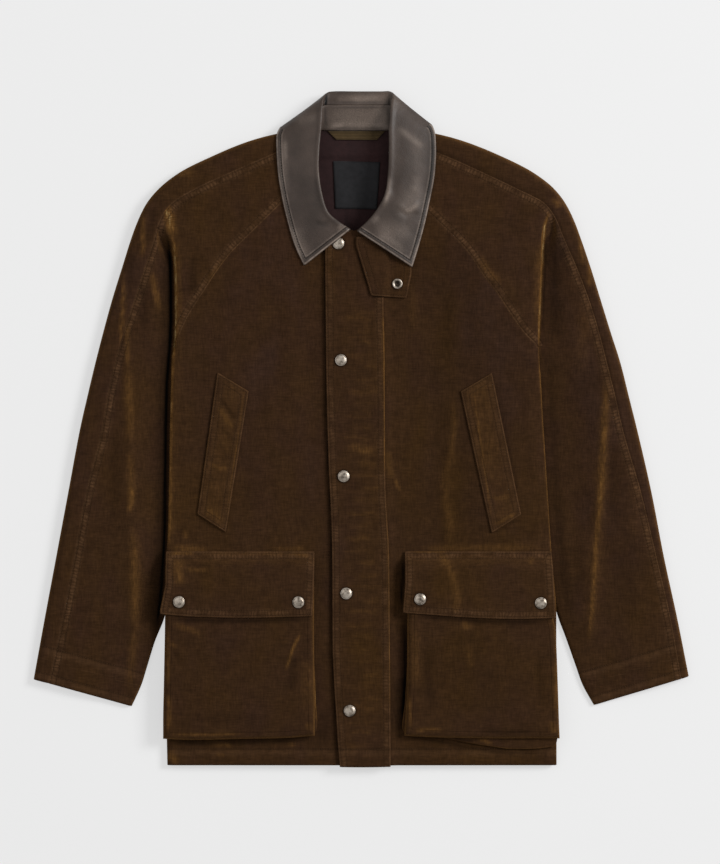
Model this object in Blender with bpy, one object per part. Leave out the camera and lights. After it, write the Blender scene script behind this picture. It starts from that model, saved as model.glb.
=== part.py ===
"""Stable jacket, snapped shut and lying on its back.

Frame: +X to the wearer's left, +Y from the hem to the collar, +Z up from the surface below.
All sizes here are in millimetres, and become metres when a mesh is made.
An "out" value is a distance from the centre line towards that side's sleeve.
"""

from collections import namedtuple
import math

import bmesh
import bpy

MM = 0.001

# Walls.
CLOTH = 2.0            # sueded cotton
LEATHER = 2.4          # two layers of collar leather
STAND_WALL = 1.8
LINING = 1.0
LABEL = 0.8
TAPE = 1.2
DOUBLED = 2.2          # welts and flaps
LATCH = 3.0
GUSSET = 1.2

# Room between pieces that are sewn together.
GAP = 0.3
SEAM_GAP = 0.45        # where a seam slants across the levels
STAND_GAP = 1.4        # below the fall, which is thick at its corners
GUSSET_GAP = 0.5
FLAP_GAP = 0.45

HEM_Y = -437.5
OVERLAP = CLOTH + GAP  # rise of one front over the other
LAP_SLOPE = 10.0       # over which that rise fades beside the placket
POCKET_RISE = 12.0
POCKET_MOUTH_Y = -178.0
PATCH_FOOT_Y = -400.0
FLAP_TOP_Y = -160.0
EDGE_WIDTH = 12.0      # over which a body edge rounds off
RIM_SHARES = (0.42, 0.12, 0.0)
CUFF_EDGE_WIDTH = 9.0  # the same for a sleeve's outer edge
SNAP_RADIUS = 7.6
SNAP_HEIGHT = 2.6

# Finishes: name, colour, roughness and metallic value.
SUEDED = ("sueded_cotton", (0.040, 0.023, 0.011), 0.9, 0.0)
LEATHER_LOOK = ("collar_leather", (0.075, 0.058, 0.048), 0.42, 0.0)
LINING_LOOK = ("lining_cloth", (0.028, 0.011, 0.012), 0.8, 0.0)
TAPE_LOOK = ("loop_tape", (0.10, 0.078, 0.035), 0.8, 0.0)
LABEL_LOOK = ("label_weave", (0.012, 0.012, 0.014), 0.85, 0.0)
NICKEL = ("nickel", (0.66, 0.66, 0.67), 0.25, 1.0)

Side = namedtuple("Side", "name sign outer seam fold raglan back_raglan under_arm ridge fold_top cuff")
SleeveRow = namedtuple("SleeveRow", "outer_y seam_y inner_y")
Growth = namedtuple("Growth", "below_top drop overhang")
CollarRow = namedtuple("CollarRow", "seam roll outer crown foot")
Pocket = namedtuple("Pocket", "name sign patch_sides patch_bottom flap_sides flap_bottom sag snaps")

# Each outline is a list of (y, out), from the collar down.
RIGHT = Side(
    name="right",
    sign=-1,
    outer=[(392, 66), (385.5, 100), (375, 142), (354, 194), (333, 236), (312, 263), (292, 279.5),
           (271, 290), (250, 298), (209, 311), (167, 324), (125, 335.5), (84, 346), (42, 356),
           (0, 365.5), (-83, 381), (-166, 396.5), (-249, 412), (-326, 426)],
    seam=[(376, 66), (354, 121), (333, 169), (312, 215), (292, 247), (271, 261.5), (250, 268),
          (209, 281), (167, 294.5), (125, 308.5), (84, 320), (42, 329.5), (0, 336.5), (-83, 357),
          (-166, 372.5), (-249, 388.5), (-331, 406)],
    fold=[(262, 259), (250, 253), (240, 248), (225, 245), (205, 243.5), (170, 242.5), (125, 242),
          (105, 243), (92, 246), (60, 247), (0, 248.5), (-60, 249.5), (-145, 251.5), (-170, 253.5),
          (-330, 254), (-438, 252)],
    raglan=[(332, 64), (291, 105.5), (257, 140), (224, 172.5), (172, 208.5), (140, 228), (105, 243)],
    back_raglan=[(366, 66), (330, 100), (270, 150), (210, 190), (150, 215), (80, 230)],
    under_arm=[(105, 235), (60, 237), (0, 238), (-80, 239), (-150, 241), (-200, 245.5),
               (-247, 257), (-277, 269), (-311, 279.5), (-332, 286), (-361, 299)],
    ridge=[(105, 296), (0, 301), (-80, 299), (-170, 296), (-300, 293)],
    fold_top=262,
    cuff=SleeveRow(-326, -331, -361),
)
LEFT = Side(
    name="left",
    sign=1,
    outer=[(392, 50), (384, 95), (375, 130), (354, 183), (333, 224), (312, 251), (292, 266.5),
           (271, 277), (250, 285), (209, 299), (167, 312), (125, 325), (84, 338), (42, 348.5),
           (0, 359), (-83, 378), (-166, 394), (-249, 412), (-322, 426.5)],
    seam=[(377, 50), (354, 110), (333, 157), (312, 201), (292, 239), (271, 254), (250, 262.5),
          (209, 280.5), (167, 296.5), (125, 309.5), (84, 320), (42, 330.5), (0, 340), (-83, 364),
          (-166, 384), (-249, 403), (-325, 416.5)],
    fold=[(279, 244), (268, 239.5), (255, 237.5), (220, 236), (170, 234), (120, 232), (100, 231.5),
          (60, 234), (20, 236), (-20, 238.5), (-60, 241), (-100, 243.5), (-140, 246), (-200, 251),
          (-240, 254), (-438, 254.5)],
    raglan=[(321, 50), (278, 89.5), (252, 117), (229, 138.5), (197, 160), (175, 177), (147, 195.5),
            (124, 212), (105, 231.5)],
    back_raglan=[(366, 52), (330, 88), (270, 138), (210, 180), (150, 207), (80, 222)],
    under_arm=[(105, 224), (60, 226), (0, 229), (-80, 233.5), (-150, 239), (-200, 245),
               (-246, 257.5), (-270, 266.5), (-311, 281), (-332, 288.5), (-359.5, 303.5)],
    ridge=[(105, 320), (0, 316), (-80, 310), (-170, 304), (-300, 294)],
    fold_top=279,
    cuff=SleeveRow(-322, -325, -359.5),
)

# Levels of the over-arm seam above and below the armpit fold; FOLD_ROWS gives those on it.
NECK_LEVELS = (376, 364, 350, 327, 306, 292)
FOLD_ROWS = [Growth(*row) for row in (
    (0, 0.0, 0.0), (14, 0.45, 0.0), (27, 0.85, 0.0), (41, 1.0, 0.55), (56, 1.0, 1.0))]
ARMPIT_LEVELS = (182, 155, 130, 107)
ARM_LEVELS = (95, 82, 45, -10, -76, -145, -215, -291)
FOLD_END_Y = 105
# Level of the sleeve's outer edge, and of its inner or back edge, for a level of the seam.
OUTER_LEVEL = [(376, 392), (364, 385.5), (350, 375), (327, 354), (292, 312), (275, 292), (253, 268),
               (225, 235), (193, 200), (122, 125), (38, 42), (-90, -83), (-291, -284)]
INNER_LEVEL = [(376, 366), (364, 345), (350, 305), (327, 262), (308, 225), (292, 190), (275, 160),
               (253, 130), (225, 107), (193, 92), (155, 80.5), (122, 72), (95, 64), (82, 54),
               (45, 25), (-10, -24), (-76, -86), (-162, -174), (-248, -265), (-291, -313)]

# Height of the body's upper face, of a sleeve's at its over-arm seam, and of a body edge's nose.
BODY_HEIGHT = [(400, 16), (340, 19), (290, 19), (200, 18), (100, 16), (0, 14.8), (-200, 13.5),
               (-330, 12.5), (-400, 11.5), (-438, 10)]
SEAM_HEIGHT = [(400, 13), (380, 15.5), (350, 18), (300, 18.5), (260, 17), (210, 15), (100, 14.5),
               (0, 14.5), (-150, 13.5), (-300, 12), (-361, 11)]
NOSE_HEIGHT = [(300, 12.5), (100, 12), (-200, 11.5), (-260, 9), (-330, 7), (-438, 6.2)]

# Inner limits of the fronts as (y, out), and the placket's two edges as (y, x).
FRONT_RIGHT_INNER = [(330, 64), (305, 62), (285, 56), (270, 46), (262, 34), (257, 12), (248, -10),
                     (235, -20), (-438, -20)]
FRONT_LEFT_INNER = [(318, 50), (305, 48), (288, 41), (273, 29), (263, 14), (256, -10), (249, -30),
                    (240, -43.5)]
PLACKET_EDGE = [(256, -46), (228, -46), (110, -45), (40, -44), (-60, -41), (-110, -38.5),
                (-170, -37), (-280, -36.5), (-330, -34.5), (-370, -32), (-410, -29.5), (-439, -27)]
PLACKET_SEAM = [(256, 28), (170, 28.5), (95, 30), (-67, 31), (-171, 36), (-439, 38)]
COLLAR_LEVELS = (268, 257, 249)
PLACKET_HEAD_LEVELS = (256, 240, 222, 200, 170, 140)
PLACKET_FOOT_Y = -439
BODY_LEVELS = (FOLD_END_Y, 90, 60, 0, -70, -130, -166, -192, -240, -310, -385, -420, HEM_Y)

BACK_MARGIN = 14       # from a body edge in to the back panel, which the fronts wrap round to
BACK_LEVELS = (71, 40, -20, -110, -200, -330, -437)
BACK_NECK_Y = 389
BACK_NECK_XS = (-62, -34, -6, 21, 48)
LIFT_LEVELS = (356.5, 352.5, 348.5)

# The fall's stations from the right point round the back of the neck to the left point:
# where it meets the stand, its roll line, its outer edge, and the foot of the stand there.
COLLAR_ROWS = [CollarRow(*row) for row in (
    ((-16, 259.5, 26), (-13.5, 262, 31), (-77, 212, 21.7), 3.0, (-18, 262, 20)),
    ((-32, 267, 26), (-30, 268.5, 32.5), (-86.5, 238, 22), 3.5, (-35, 266, 14)),
    ((-45, 280, 25), (-43, 281, 33.5), (-95.5, 268, 22.3), 3.5, (-50, 277, 10)),
    ((-53.5, 305, 25), (-51, 305, 34), (-103.5, 300, 22.5), 3.0, (-57, 303, 9.5)),
    ((-57, 335, 25), (-54.5, 335, 34), (-108, 331, 22.3), 2.5, (-60, 332, 9.5)),
    ((-56, 366, 24), (-53.5, 366, 33), (-110, 356, 22), 2.0, (-60, 356, 9.5)),
    ((-53, 395, 22), (-50.8, 396, 31), (-110.8, 375, 20.5), 1.5, (-58, 374, 9.5)),
    ((-50.5, 414, 20), (-49, 424, 26), (-111, 385, 16.5), 1.0, (-55, 384, 9.2)),
    ((-49.5, 420, 19), (-48, 437, 18), (-109.5, 390, 9), 0.0, (-51, 388, 9)),
    ((-46, 421, 18.5), (-45, 438.3, 13), (-100, 382, 0), 0.0, (-47, 388, 8.8)),
    ((-36, 421, 18), (-36, 438.3, 12), (-72, 365, 0), 0.0, (-36, 388, 8.6)),
    ((-5, 421, 18), (-5, 438.3, 12), (-5, 357, 0), 0.0, (-5, 388, 8.6)),
    ((26, 421, 18), (26, 438.3, 12), (60, 365, 0), 0.0, (26, 388, 8.6)),
    ((36, 421, 18.5), (36, 438.3, 13), (88, 382, 0), 0.0, (37, 388, 8.8)),
    ((38, 420, 19), (39, 437, 18), (96.5, 391, 9.6), 0.0, (41, 388, 9)),
    ((37.5, 414, 20), (38, 424, 26), (98, 386, 16.5), 1.0, (43, 384, 9.2)),
    ((37.5, 395, 22), (36, 396, 31), (98, 375, 20.5), 1.5, (43.5, 374, 9.5)),
    ((38, 366, 24), (36, 366, 33), (97.5, 354, 22), 2.5, (43.5, 356, 9.5)),
    ((38, 335, 25), (35, 335, 34), (95.5, 326, 22.3), 3.5, (43.5, 332, 9.5)),
    ((34, 305, 25), (31, 305, 34), (90, 297, 22.5), 4.0, (41, 303, 9.5)),
    ((25, 285, 25.5), (22, 286, 33.5), (83, 267, 23), 4.5, (32, 281, 12)),
    ((14, 271, 26), (11, 272, 33), (75.5, 239, 24), 4.5, (19, 268, 16)),
    ((1, 259, 27), (-3, 260, 31.5), (67, 210, 25.3), 4.0, (4, 261, 21)))]

PATCH_LEVELS = (POCKET_MOUTH_Y, -190, -205, -230, -265, -300, -335, -370)
POCKETS = (
    Pocket(
        name="right",
        sign=-1,
        patch_sides=[(-178, 254, 61), (-250, 254.5, 61), (-330, 256, 60.5), (-380, 257, 60),
                     (-400, 257, 60)],
        patch_bottom=[(257, -403), (220, -404.5), (150, -403), (100, -402), (60, -399)],
        flap_sides=[(-160, 253, 61), (-195, 252.5, 61.5), (-220, 256, 62.5), (-240, 260, 64)],
        flap_bottom=[(260, -240), (220, -243.5), (150, -245), (64, -243)],
        sag=0.0,
        snaps=[(-236, -224.8), (-81.3, -225.2)],
    ),
    Pocket(
        name="left",
        sign=1,
        patch_sides=[(-178, 243, 61.5), (-235, 247, 60.5), (-262, 252.5, 60), (-330, 255.5, 60),
                     (-375, 257, 57.5), (-400, 258, 56)],
        patch_bottom=[(258, -402.5), (180, -402.5), (110, -401.5), (56, -399)],
        flap_sides=[(-160, 247, 57.5), (-195, 249, 58), (-245, 251.5, 55)],
        flap_bottom=[(251.5, -245.5), (195, -246.5), (145, -245), (90, -241), (55, -238.5)],
        sag=17.0,
        snaps=[(76.7, -221.3), (233.1, -226.2)],
    ),
)
# Corners of a welt, as (out, y): top side, top front, bottom side, bottom front.
WELTS = {
    "right": ((186, 72), (146.5, 48), (212, -111), (176, -134)),
    "left": ((169.5, 71.5), (130, 48), (207.5, -111.5), (170, -135)),
}
# Rows of the throat latch: y at its front end and x of its two ends.
LATCH_ROWS = [(248, -6, 50), (240, -6, 54), (222, -1, 62), (204, 4.5, 65), (188, 9.5, 62),
              (173, 13.5, 58.5)]
FRONT_SNAPS = [(-29.4, 240.1), (-26, 88.8), (-22.5, -62), (-19.2, -214.2), (-14.8, -366.5)]
LATCH_SNAP = (47.2, 187.9)
LINING_ROWS = [(388.5, -60, 46), (356.5, -62, 48), (352.5, -64, 50), (348.5, -66, 52),
               (236, -76, 61)]
LABEL_CORNERS = ((-36, 348), (24.5, 346.5), (20.5, 285.5), (-33.5, 286.5))
LOOP_CORNERS = ((-43.5, 387), (31, 387), (20.5, 375.5), (-32, 376))


def at(rows, key):
    """Value at key on a smooth curve through (key, value) rows whose keys fall."""
    if key >= rows[0][0]:
        return rows[0][1]
    if key <= rows[-1][0]:
        return rows[-1][1]
    i = next(i for i in range(len(rows) - 1) if rows[i + 1][0] <= key)
    (k0, v0), (k1, v1) = rows[i][:2], rows[i + 1][:2]
    step = (v1 - v0) / (k1 - k0)
    before = step if i == 0 else (v0 - rows[i - 1][1]) / (k0 - rows[i - 1][0])
    after = step if i + 2 == len(rows) else (rows[i + 2][1] - v1) / (rows[i + 2][0] - k1)
    m0 = 0.0 if before * step <= 0 else 2 * before * step / (before + step)
    m1 = 0.0 if after * step <= 0 else 2 * after * step / (after + step)
    t = (key - k0) / (k1 - k0)
    width = k1 - k0
    return ((2 * t**3 - 3 * t**2 + 1) * v0 + (t**3 - 2 * t**2 + t) * width * m0
            + (3 * t**2 - 2 * t**3) * v1 + (t**3 - t**2) * width * m1)


def straight_at(rows, key):
    """Value at key on straight lines through (key, value) rows whose keys fall."""
    i = next((i for i in range(len(rows) - 2) if rows[i + 1][0] <= key), len(rows) - 2)
    (k0, v0), (k1, v1) = rows[i], rows[i + 1]
    return v0 + (v1 - v0) * (key - k0) / (k1 - k0)


def ease(t):
    """0 to 1, level at both ends."""
    t = min(max(t, 0.0), 1.0)
    return t * t * (3 - 2 * t)


def mix(a, b, t):
    return a + (b - a) * t


def rounding(distance, width):
    """Share of full height at a distance inside a rounded edge."""
    t = 1 - min(max(distance / width, 0.0), 1.0)
    return math.sqrt(1 - t * t)


# ---- heights -------------------------------------------------------------------------------

def floor_lift(x, y):
    """How far the collar's hidden back leaf raises what lies on it."""
    return 3.0 * ease((y - 348.5 - 0.012 * max(abs(x + 6) - 75, 0) ** 2) / 8)


def growth(side, y, column):
    """How far the armpit fold has grown at a level: its drop or its overhang."""
    return at([(-row.below_top, getattr(row, column)) for row in FOLD_ROWS], y - side.fold_top)


def panel_z(x, y):
    """Upper face of the body away from its edges."""
    return at(BODY_HEIGHT, y) + 1.2 * (1 - (x / 250) ** 2)


def body_z(side, out, y):
    """Upper face of the body, rounded off at its fold or side edge."""
    height = panel_z(out, y)
    if y > side.fold_top:
        return height
    nose = at(NOSE_HEIGHT, y)
    distance = at(side.fold, y) - out
    return height - growth(side, y, "drop") * (height - nose) * (1 - rounding(distance, EDGE_WIDTH))


def lap_z(x, y):
    """Upper face of the left front, which rises where it laps over the right front."""
    past_seam = (x - at(PLACKET_SEAM, y) - 1.5) / LAP_SLOPE
    return body_z(LEFT, x, y) + OVERLAP * (1 - ease(past_seam))


def placket_z(x, y):
    return lap_z(x, y) + OVERLAP


def pocket_z(x, y):
    """Outer face of a pocket patch."""
    return panel_z(x, y) + POCKET_RISE * ease((-161 - y) / 26)


# ---- meshes --------------------------------------------------------------------------------

def add_object(name, mesh, finish):
    """Adds a piece with a material of its own."""
    finish_name, colour, roughness, metallic = finish
    material = bpy.data.materials.new(f"{name}_{finish_name}")
    material.use_nodes = True
    shader = material.node_tree.nodes["Principled BSDF"]
    shader.inputs["Base Color"].default_value = (*colour, 1.0)
    shader.inputs["Roughness"].default_value = roughness
    shader.inputs["Metallic"].default_value = metallic
    mesh.materials.append(material)
    piece = bpy.data.objects.new(name, mesh)
    bpy.context.scene.collection.objects.link(piece)
    return piece


def sheet(name, grid, wall, finish, flip=False, keep=None):
    """A wall whose outer face passes through a grid of points, or through those kept."""
    mesh = bpy.data.meshes.new(name)
    bm = bmesh.new()
    made = {}

    def corner(i, j):
        if (i, j) not in made:
            made[i, j] = bm.verts.new([value * MM for value in grid[i][j]])
        return made[i, j]

    for i in range(len(grid) - 1):
        for j in range(len(grid[0]) - 1):
            if keep is None or keep(i, j):
                ring = [corner(i, j), corner(i + 1, j), corner(i + 1, j + 1), corner(i, j + 1)]
                bm.faces.new(ring[::-1] if flip else ring)
    bmesh.ops.remove_doubles(bm, verts=bm.verts, dist=0.05 * MM)
    bmesh.ops.triangulate(bm, faces=bm.faces)
    bm.to_mesh(mesh)
    bm.free()
    piece = add_object(name, mesh, finish)
    solidify = piece.modifiers.new("wall", "SOLIDIFY")
    solidify.thickness = wall * MM
    solidify.offset = -1.0
    solidify.use_even_offset = True
    return piece


def turned(name, profile, centre, finish, segments=14):
    """A body turned about +Z from (radius, height) points, closed at the axis."""
    mesh = bpy.data.meshes.new(name)
    bm = bmesh.new()
    verts = [bm.verts.new(((centre[0] + radius) * MM, centre[1] * MM, (centre[2] + height) * MM))
             for radius, height in profile]
    edges = [bm.edges.new(pair) for pair in zip(verts, verts[1:] + verts[:1])]
    bmesh.ops.spin(bm, geom=verts + edges, cent=[value * MM for value in centre],
                   axis=(0, 0, 1), angle=2 * math.pi, steps=segments, use_merge=True)
    bmesh.ops.remove_doubles(bm, verts=bm.verts, dist=0.02 * MM)
    bmesh.ops.dissolve_degenerate(bm, edges=bm.edges, dist=0.01 * MM)
    bmesh.ops.recalc_face_normals(bm, faces=bm.faces)
    bm.to_mesh(mesh)
    bm.free()
    return add_object(name, mesh, finish)


# ---- body ----------------------------------------------------------------------------------

def seam_levels(side):
    """Levels shared by a sleeve's two parts, the fronts and the back, so that seams meet."""
    on_fold = [side.fold_top - row.below_top for row in FOLD_ROWS]
    return list(NECK_LEVELS) + on_fold + list(ARMPIT_LEVELS) + list(ARM_LEVELS)


def raglan_out(side, y):
    """The front raglan seam, which runs out at the body's edge where the armpit fold ends."""
    return min(at(side.raglan, y), at(side.fold, y) - 2.5)


def front_levels(side):
    above = [y for y in seam_levels(side) if FOLD_END_Y < y < side.raglan[0][0]]
    return sorted(above + list(COLLAR_LEVELS), reverse=True) + list(BODY_LEVELS)


def front_grid(side, inner_at, height_at, steps_at):
    """A front from its inner limit to the raglan seam or side edge, and under that edge."""
    grid = []
    for y in front_levels(side):
        limit = raglan_out(side, y) - SEAM_GAP if y > FOLD_END_Y else at(side.fold, y)
        inner = inner_at(y)
        rim = min(EDGE_WIDTH, 0.4 * (limit - inner))
        outs = steps_at(inner, limit - rim, y) + [limit - rim * share for share in RIM_SHARES]
        row = [(side.sign * out, y, height_at(out, y)) for out in outs]
        nose = at(NOSE_HEIGHT, y)
        shelf = max(nose - 4.0, CLOTH + 0.7)
        under = ((0.9, nose - 2.2), (3.6, shelf + 0.4), (15.0, shelf), (18.0, CLOTH + GAP))
        row += [(side.sign * (limit - inboard), y, z) for inboard, z in under]
        grid.append(row)
    return grid


def even_steps(inner, outer, y):
    return [mix(inner, outer, k / 4) for k in range(5)]


def lapped_steps(inner, outer, y):
    """As many steps, but with the rise beside the placket's seam on points of its own."""
    start = at(PLACKET_SEAM, y) + 1.5
    if inner > start - 8:
        return even_steps(inner, outer, y)
    return [inner, start, start + LAP_SLOPE / 2, start + LAP_SLOPE, outer]


def build_fronts():
    def inner_right(y):
        return at(FRONT_RIGHT_INNER, y)

    def inner_left(y):
        return at(FRONT_LEFT_INNER, y) if y > 240 else at(PLACKET_EDGE, y) + 2.5

    def right_z(out, y):
        return body_z(RIGHT, out, y)

    upper_columns = 4 + len(RIM_SHARES)
    for side, inner_at, height_at, steps_at in (
            (RIGHT, inner_right, right_z, even_steps), (LEFT, inner_left, lap_z, lapped_steps)):
        wrapped_from = front_levels(side).index(FOLD_END_Y)

        def keep(i, j):
            return j < upper_columns or i >= wrapped_from

        grid = front_grid(side, inner_at, height_at, steps_at)
        sheet(f"front_{side.name}", grid, CLOTH, SUEDED, flip=side.sign < 0, keep=keep)


def build_placket():
    levels = [*PLACKET_HEAD_LEVELS, *BODY_LEVELS[:-1], PLACKET_FOOT_Y]
    grid = []
    for y in levels:
        left, right = at(PLACKET_EDGE, y), at(PLACKET_SEAM, y)
        xs = [mix(left, right, share) for share in (0, 0.5, 1)]
        grid.append([(x, y, placket_z(x, y)) for x in xs])
    sheet("placket", grid, CLOTH, SUEDED)


def back_edge(side):
    """The back panel's edge, straight between the stations of the sleeve it is sewn to."""
    levels = [at(INNER_LEVEL, y) for y in seam_levels(side)]
    points = [(y, at(side.back_raglan, y) - SEAM_GAP) for y in levels if y > 80]
    return points + [(y, at(side.fold, y) - BACK_MARGIN) for y in BACK_LEVELS]


def build_back():
    """The back panel, flat on the surface but for the neck, where the collar lies under it."""
    edges = [(side.sign, back_edge(side)) for side in (RIGHT, LEFT)]
    levels = {y for _, edge in edges for y, _ in edge} | set(LIFT_LEVELS)
    grid = [[(x, BACK_NECK_Y, floor_lift(x, BACK_NECK_Y)) for x in BACK_NECK_XS]]
    for y in sorted(levels, reverse=True):
        ends = [sign * straight_at(edge, y) for sign, edge in edges]
        xs = [mix(ends[0], ends[1], k / 4) for k in range(5)]
        grid.append([(x, y, floor_lift(x, y)) for x in xs])
    sheet("back", grid, CLOTH, SUEDED, flip=True)


# ---- sleeves -------------------------------------------------------------------------------

def sleeve_rows(side):
    """Stations along a sleeve, from the neck to the cuff."""
    rows = [SleeveRow(at(OUTER_LEVEL, y), y, at(INNER_LEVEL, y)) for y in seam_levels(side)]
    return rows + [side.cuff]


def sleeve_back_grid(side):
    """From the over-arm seam round the outer edge to the back raglan or under-arm seam."""
    grid = []
    for row in sleeve_rows(side):
        outer = (at(side.outer, row.outer_y), row.outer_y)
        seam = (at(side.seam, row.seam_y), row.seam_y)
        hidden = side.back_raglan if row.inner_y >= 80 else side.under_arm
        back = (at(hidden, row.inner_y), row.inner_y)
        height = at(SEAM_HEIGHT, row.seam_y)
        reach = math.dist(outer, seam)
        inward = [(s - o) / reach for s, o in zip(seam, outer)]
        lift = floor_lift(side.sign * outer[0], outer[1])
        nose = mix(lift, height, 0.45)
        points = []
        inset = SEAM_GAP / 2
        for distance in (reach - inset, 7.0, 3.2, 0.9, 0.0):
            distance = min(distance, reach - inset)
            z = mix(nose, height, rounding(distance, CUFF_EDGE_WIDTH))
            points.append((outer[0] + inward[0] * distance, outer[1] + inward[1] * distance, z))
        across = [(b - o) for b, o in zip(back, outer)]
        length = math.hypot(*across)
        for distance in (0.8, 2.8, 6.5, 0.4 * length, length):
            share = distance / length
            out, y = outer[0] + across[0] * share, outer[1] + across[1] * share
            lift = floor_lift(side.sign * out, y)
            z = mix(nose, lift, rounding(distance, 6.5)) if distance < 6.5 else lift
            points.append((out, y, z))
        grid.append([(side.sign * out, y, z) for out, y, z in points])
    return grid


# Inboard distance and height from the nose of the armpit fold's underside, and back up the arm.
FOLDED = ((1.2, -2.2), (5.0, -3.2), (9.5, -3.2), (12.0, -4.4), (10.6, -5.5), (4.0, -5.6))
FLAT_STEP = 1.6        # between those points where the fold has not begun
ARM_SHARES = (0.18, 0.36, 0.54, 0.76, 1.0)


def arm_z(side, out, y, start, end, start_z):
    """Upper face of an arm between its inner start and the over-arm seam."""
    share = (out - start) / (end - start)
    ridge = 2.6 * math.exp(-((out - at(side.ridge, y)) / 9) ** 2) * ease((140 - y) / 60)
    return mix(start_z, at(SEAM_HEIGHT, y), ease(1.35 * share)) + ridge * ease((1 - share) * 5)


def shoulder_row(side, y):
    """Across the shoulder at one level, with the armpit fold as far as it has grown."""
    start = raglan_out(side, y) if y < side.raglan[0][0] else side.raglan[0][1] + 2
    seam = at(side.seam, y) - SEAM_GAP / 2
    fold = at(side.fold, y)
    drop, overhang = growth(side, y, "drop"), growth(side, y, "overhang")
    if y > side.fold_top:
        fold = mix(start, seam, 0.5 if y > 300 else 0.75)
    rim = min(EDGE_WIDTH, 0.5 * (fold - start))
    outs = [mix(start, fold - rim, share) for share in (0.0, 0.5, 1.0)]
    outs += [fold - rim * share for share in RIM_SHARES]

    def top(out):
        return mix(body_z(side, out, y), at(SEAM_HEIGHT, y), ease((out - start) / (seam - start)))

    unfolded = y > side.fold_top
    row = [(out, y, top(out) if unfolded else body_z(side, out, y)) for out in outs]
    nose = at(NOSE_HEIGHT, y)
    step = min(FLAT_STEP, (seam - fold) / 9)
    for k, (inboard, dz) in enumerate(FOLDED, 1):
        out = mix(fold + step * k, fold - inboard, overhang)
        sunk = mix(body_z(side, fold, y), nose + FOLDED[-1][1] - 0.1, drop * k / len(FOLDED))
        row.append((out, y, mix(top(out) if unfolded else sunk, nose + dz, overhang)))
    foot, _, foot_z = row[-1]
    for share in ARM_SHARES:
        out = mix(foot, seam, share)
        row.append((out, y, top(out) if unfolded else arm_z(side, out, y, foot, seam, foot_z)))
    return row


def arm_row(side, row):
    """Across the front of an arm below the armpit, from its under-arm edge."""
    inner = (at(side.under_arm, row.inner_y), row.inner_y)
    seam = (at(side.seam, row.seam_y) - SEAM_GAP / 2, row.seam_y)
    length = math.dist(inner, seam)
    inner_z = at(NOSE_HEIGHT, max(row.inner_y, -200)) - 5.6

    def place(distance):
        share = distance / length
        return mix(inner[0], seam[0], share), mix(inner[1], seam[1], share)

    points = [None] * 8
    points += [(*place(0.0), CLOTH + GAP), (*place(0.2), 4.1)]
    points += [(*place(2.2), inner_z - 0.6), (*place(8.0), inner_z)]
    for share in ARM_SHARES:
        out, y = place(mix(8.0, length, share))
        points.append((out, y, arm_z(side, out, y, place(8.0)[0], seam[0], inner_z)))
    return points


def build_sleeve(side):
    levels = [y for y in seam_levels(side) if y > FOLD_END_Y]
    rows = sleeve_rows(side)[len(levels):]
    grid = [shoulder_row(side, y) for y in levels[1:]] + [arm_row(side, row) for row in rows]
    grid = [[point and (side.sign * point[0], point[1], point[2]) for point in row] for row in grid]
    last_shoulder = len(levels) - 2

    def keep(i, j):
        first = 0 if i < last_shoulder else 11 if i == last_shoulder else 8
        return j >= first

    flip = side.sign < 0
    sheet(f"sleeve_front_{side.name}", grid, CLOTH, SUEDED, flip=flip, keep=keep)
    sheet(f"sleeve_back_{side.name}", sleeve_back_grid(side), CLOTH, SUEDED, flip=flip)


# ---- collar and neck -----------------------------------------------------------------------

def fall_row(row):
    """One station of the fall: stand seam, roll, and the leaf to its outer edge."""
    under = row.outer[2] < 1
    points = [row.seam]
    points.append(tuple(mix(s, r, 0.6) for s, r in zip(row.seam, row.roll)))
    points.append(row.roll)
    for share in (0.05, 0.13, 0.35, 0.6, 0.82, 1.0):
        x, y, z = (mix(r, o, share) for r, o in zip(row.roll, row.outer))
        if under:
            z = row.roll[2] * max(1 - share / 0.13, 0.0) ** 1.6
        else:
            z += row.crown * 4 * share * (1 - share) + (1.2 if share == 0.05 else 0)
        points.append((x, y, z))
    return points


def build_collar():
    sheet("collar_fall", [fall_row(row) for row in COLLAR_ROWS], LEATHER, LEATHER_LOOK)
    grid = []
    for row in COLLAR_ROWS[1:-1]:
        reach = math.dist(row.seam, row.foot)
        top = tuple(mix(s, f, STAND_GAP / reach) for s, f in zip(row.seam, row.foot))
        middle = tuple(mix(t, f, 0.5) for t, f in zip(top, row.foot))
        grid.append([row.foot, middle, top])
    sheet("collar_stand", grid, STAND_WALL, LEATHER_LOOK)


def quad_sheet(name, corners, height_at, wall, finish, columns=4, rows=4):
    """A flat-cut piece between four corners, laid on a surface. Corners run round from top right."""
    (a, b, c, d) = corners
    grid = []
    for i in range(rows + 1):
        v = i / rows
        left = [mix(p, q, v) for p, q in zip(a, d)]
        right = [mix(p, q, v) for p, q in zip(b, c)]
        row = []
        for j in range(columns + 1):
            x, y = (mix(p, q, j / columns) for p, q in zip(left, right))
            row.append((x, y, height_at(x, y)))
        grid.append(row)
    return sheet(name, grid, wall, finish)


def lining_z(x, y):
    return floor_lift(x, y) + CLOTH + GAP + LINING


def build_neck():
    grid = [[(x, y, lining_z(x, y)) for x in (left, mix(left, right, 0.5), right)]
            for y, left, right in LINING_ROWS]
    sheet("lining", grid, LINING, LINING_LOOK)
    quad_sheet("label", LABEL_CORNERS, lambda x, y: lining_z(x, y) + GAP + LABEL, LABEL, LABEL_LOOK,
               columns=2, rows=4)
    quad_sheet("hanger_loop", LOOP_CORNERS, lambda x, y: lining_z(x, y) + GAP + TAPE, TAPE, TAPE_LOOK,
               columns=3, rows=2)


# ---- what lies on the fronts ---------------------------------------------------------------

def latch_z(x, y):
    high = panel_z(x, y) + 2 * OVERLAP + GAP + LATCH
    return high - 2 * OVERLAP * ease((x - 28.5) / 12)


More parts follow.
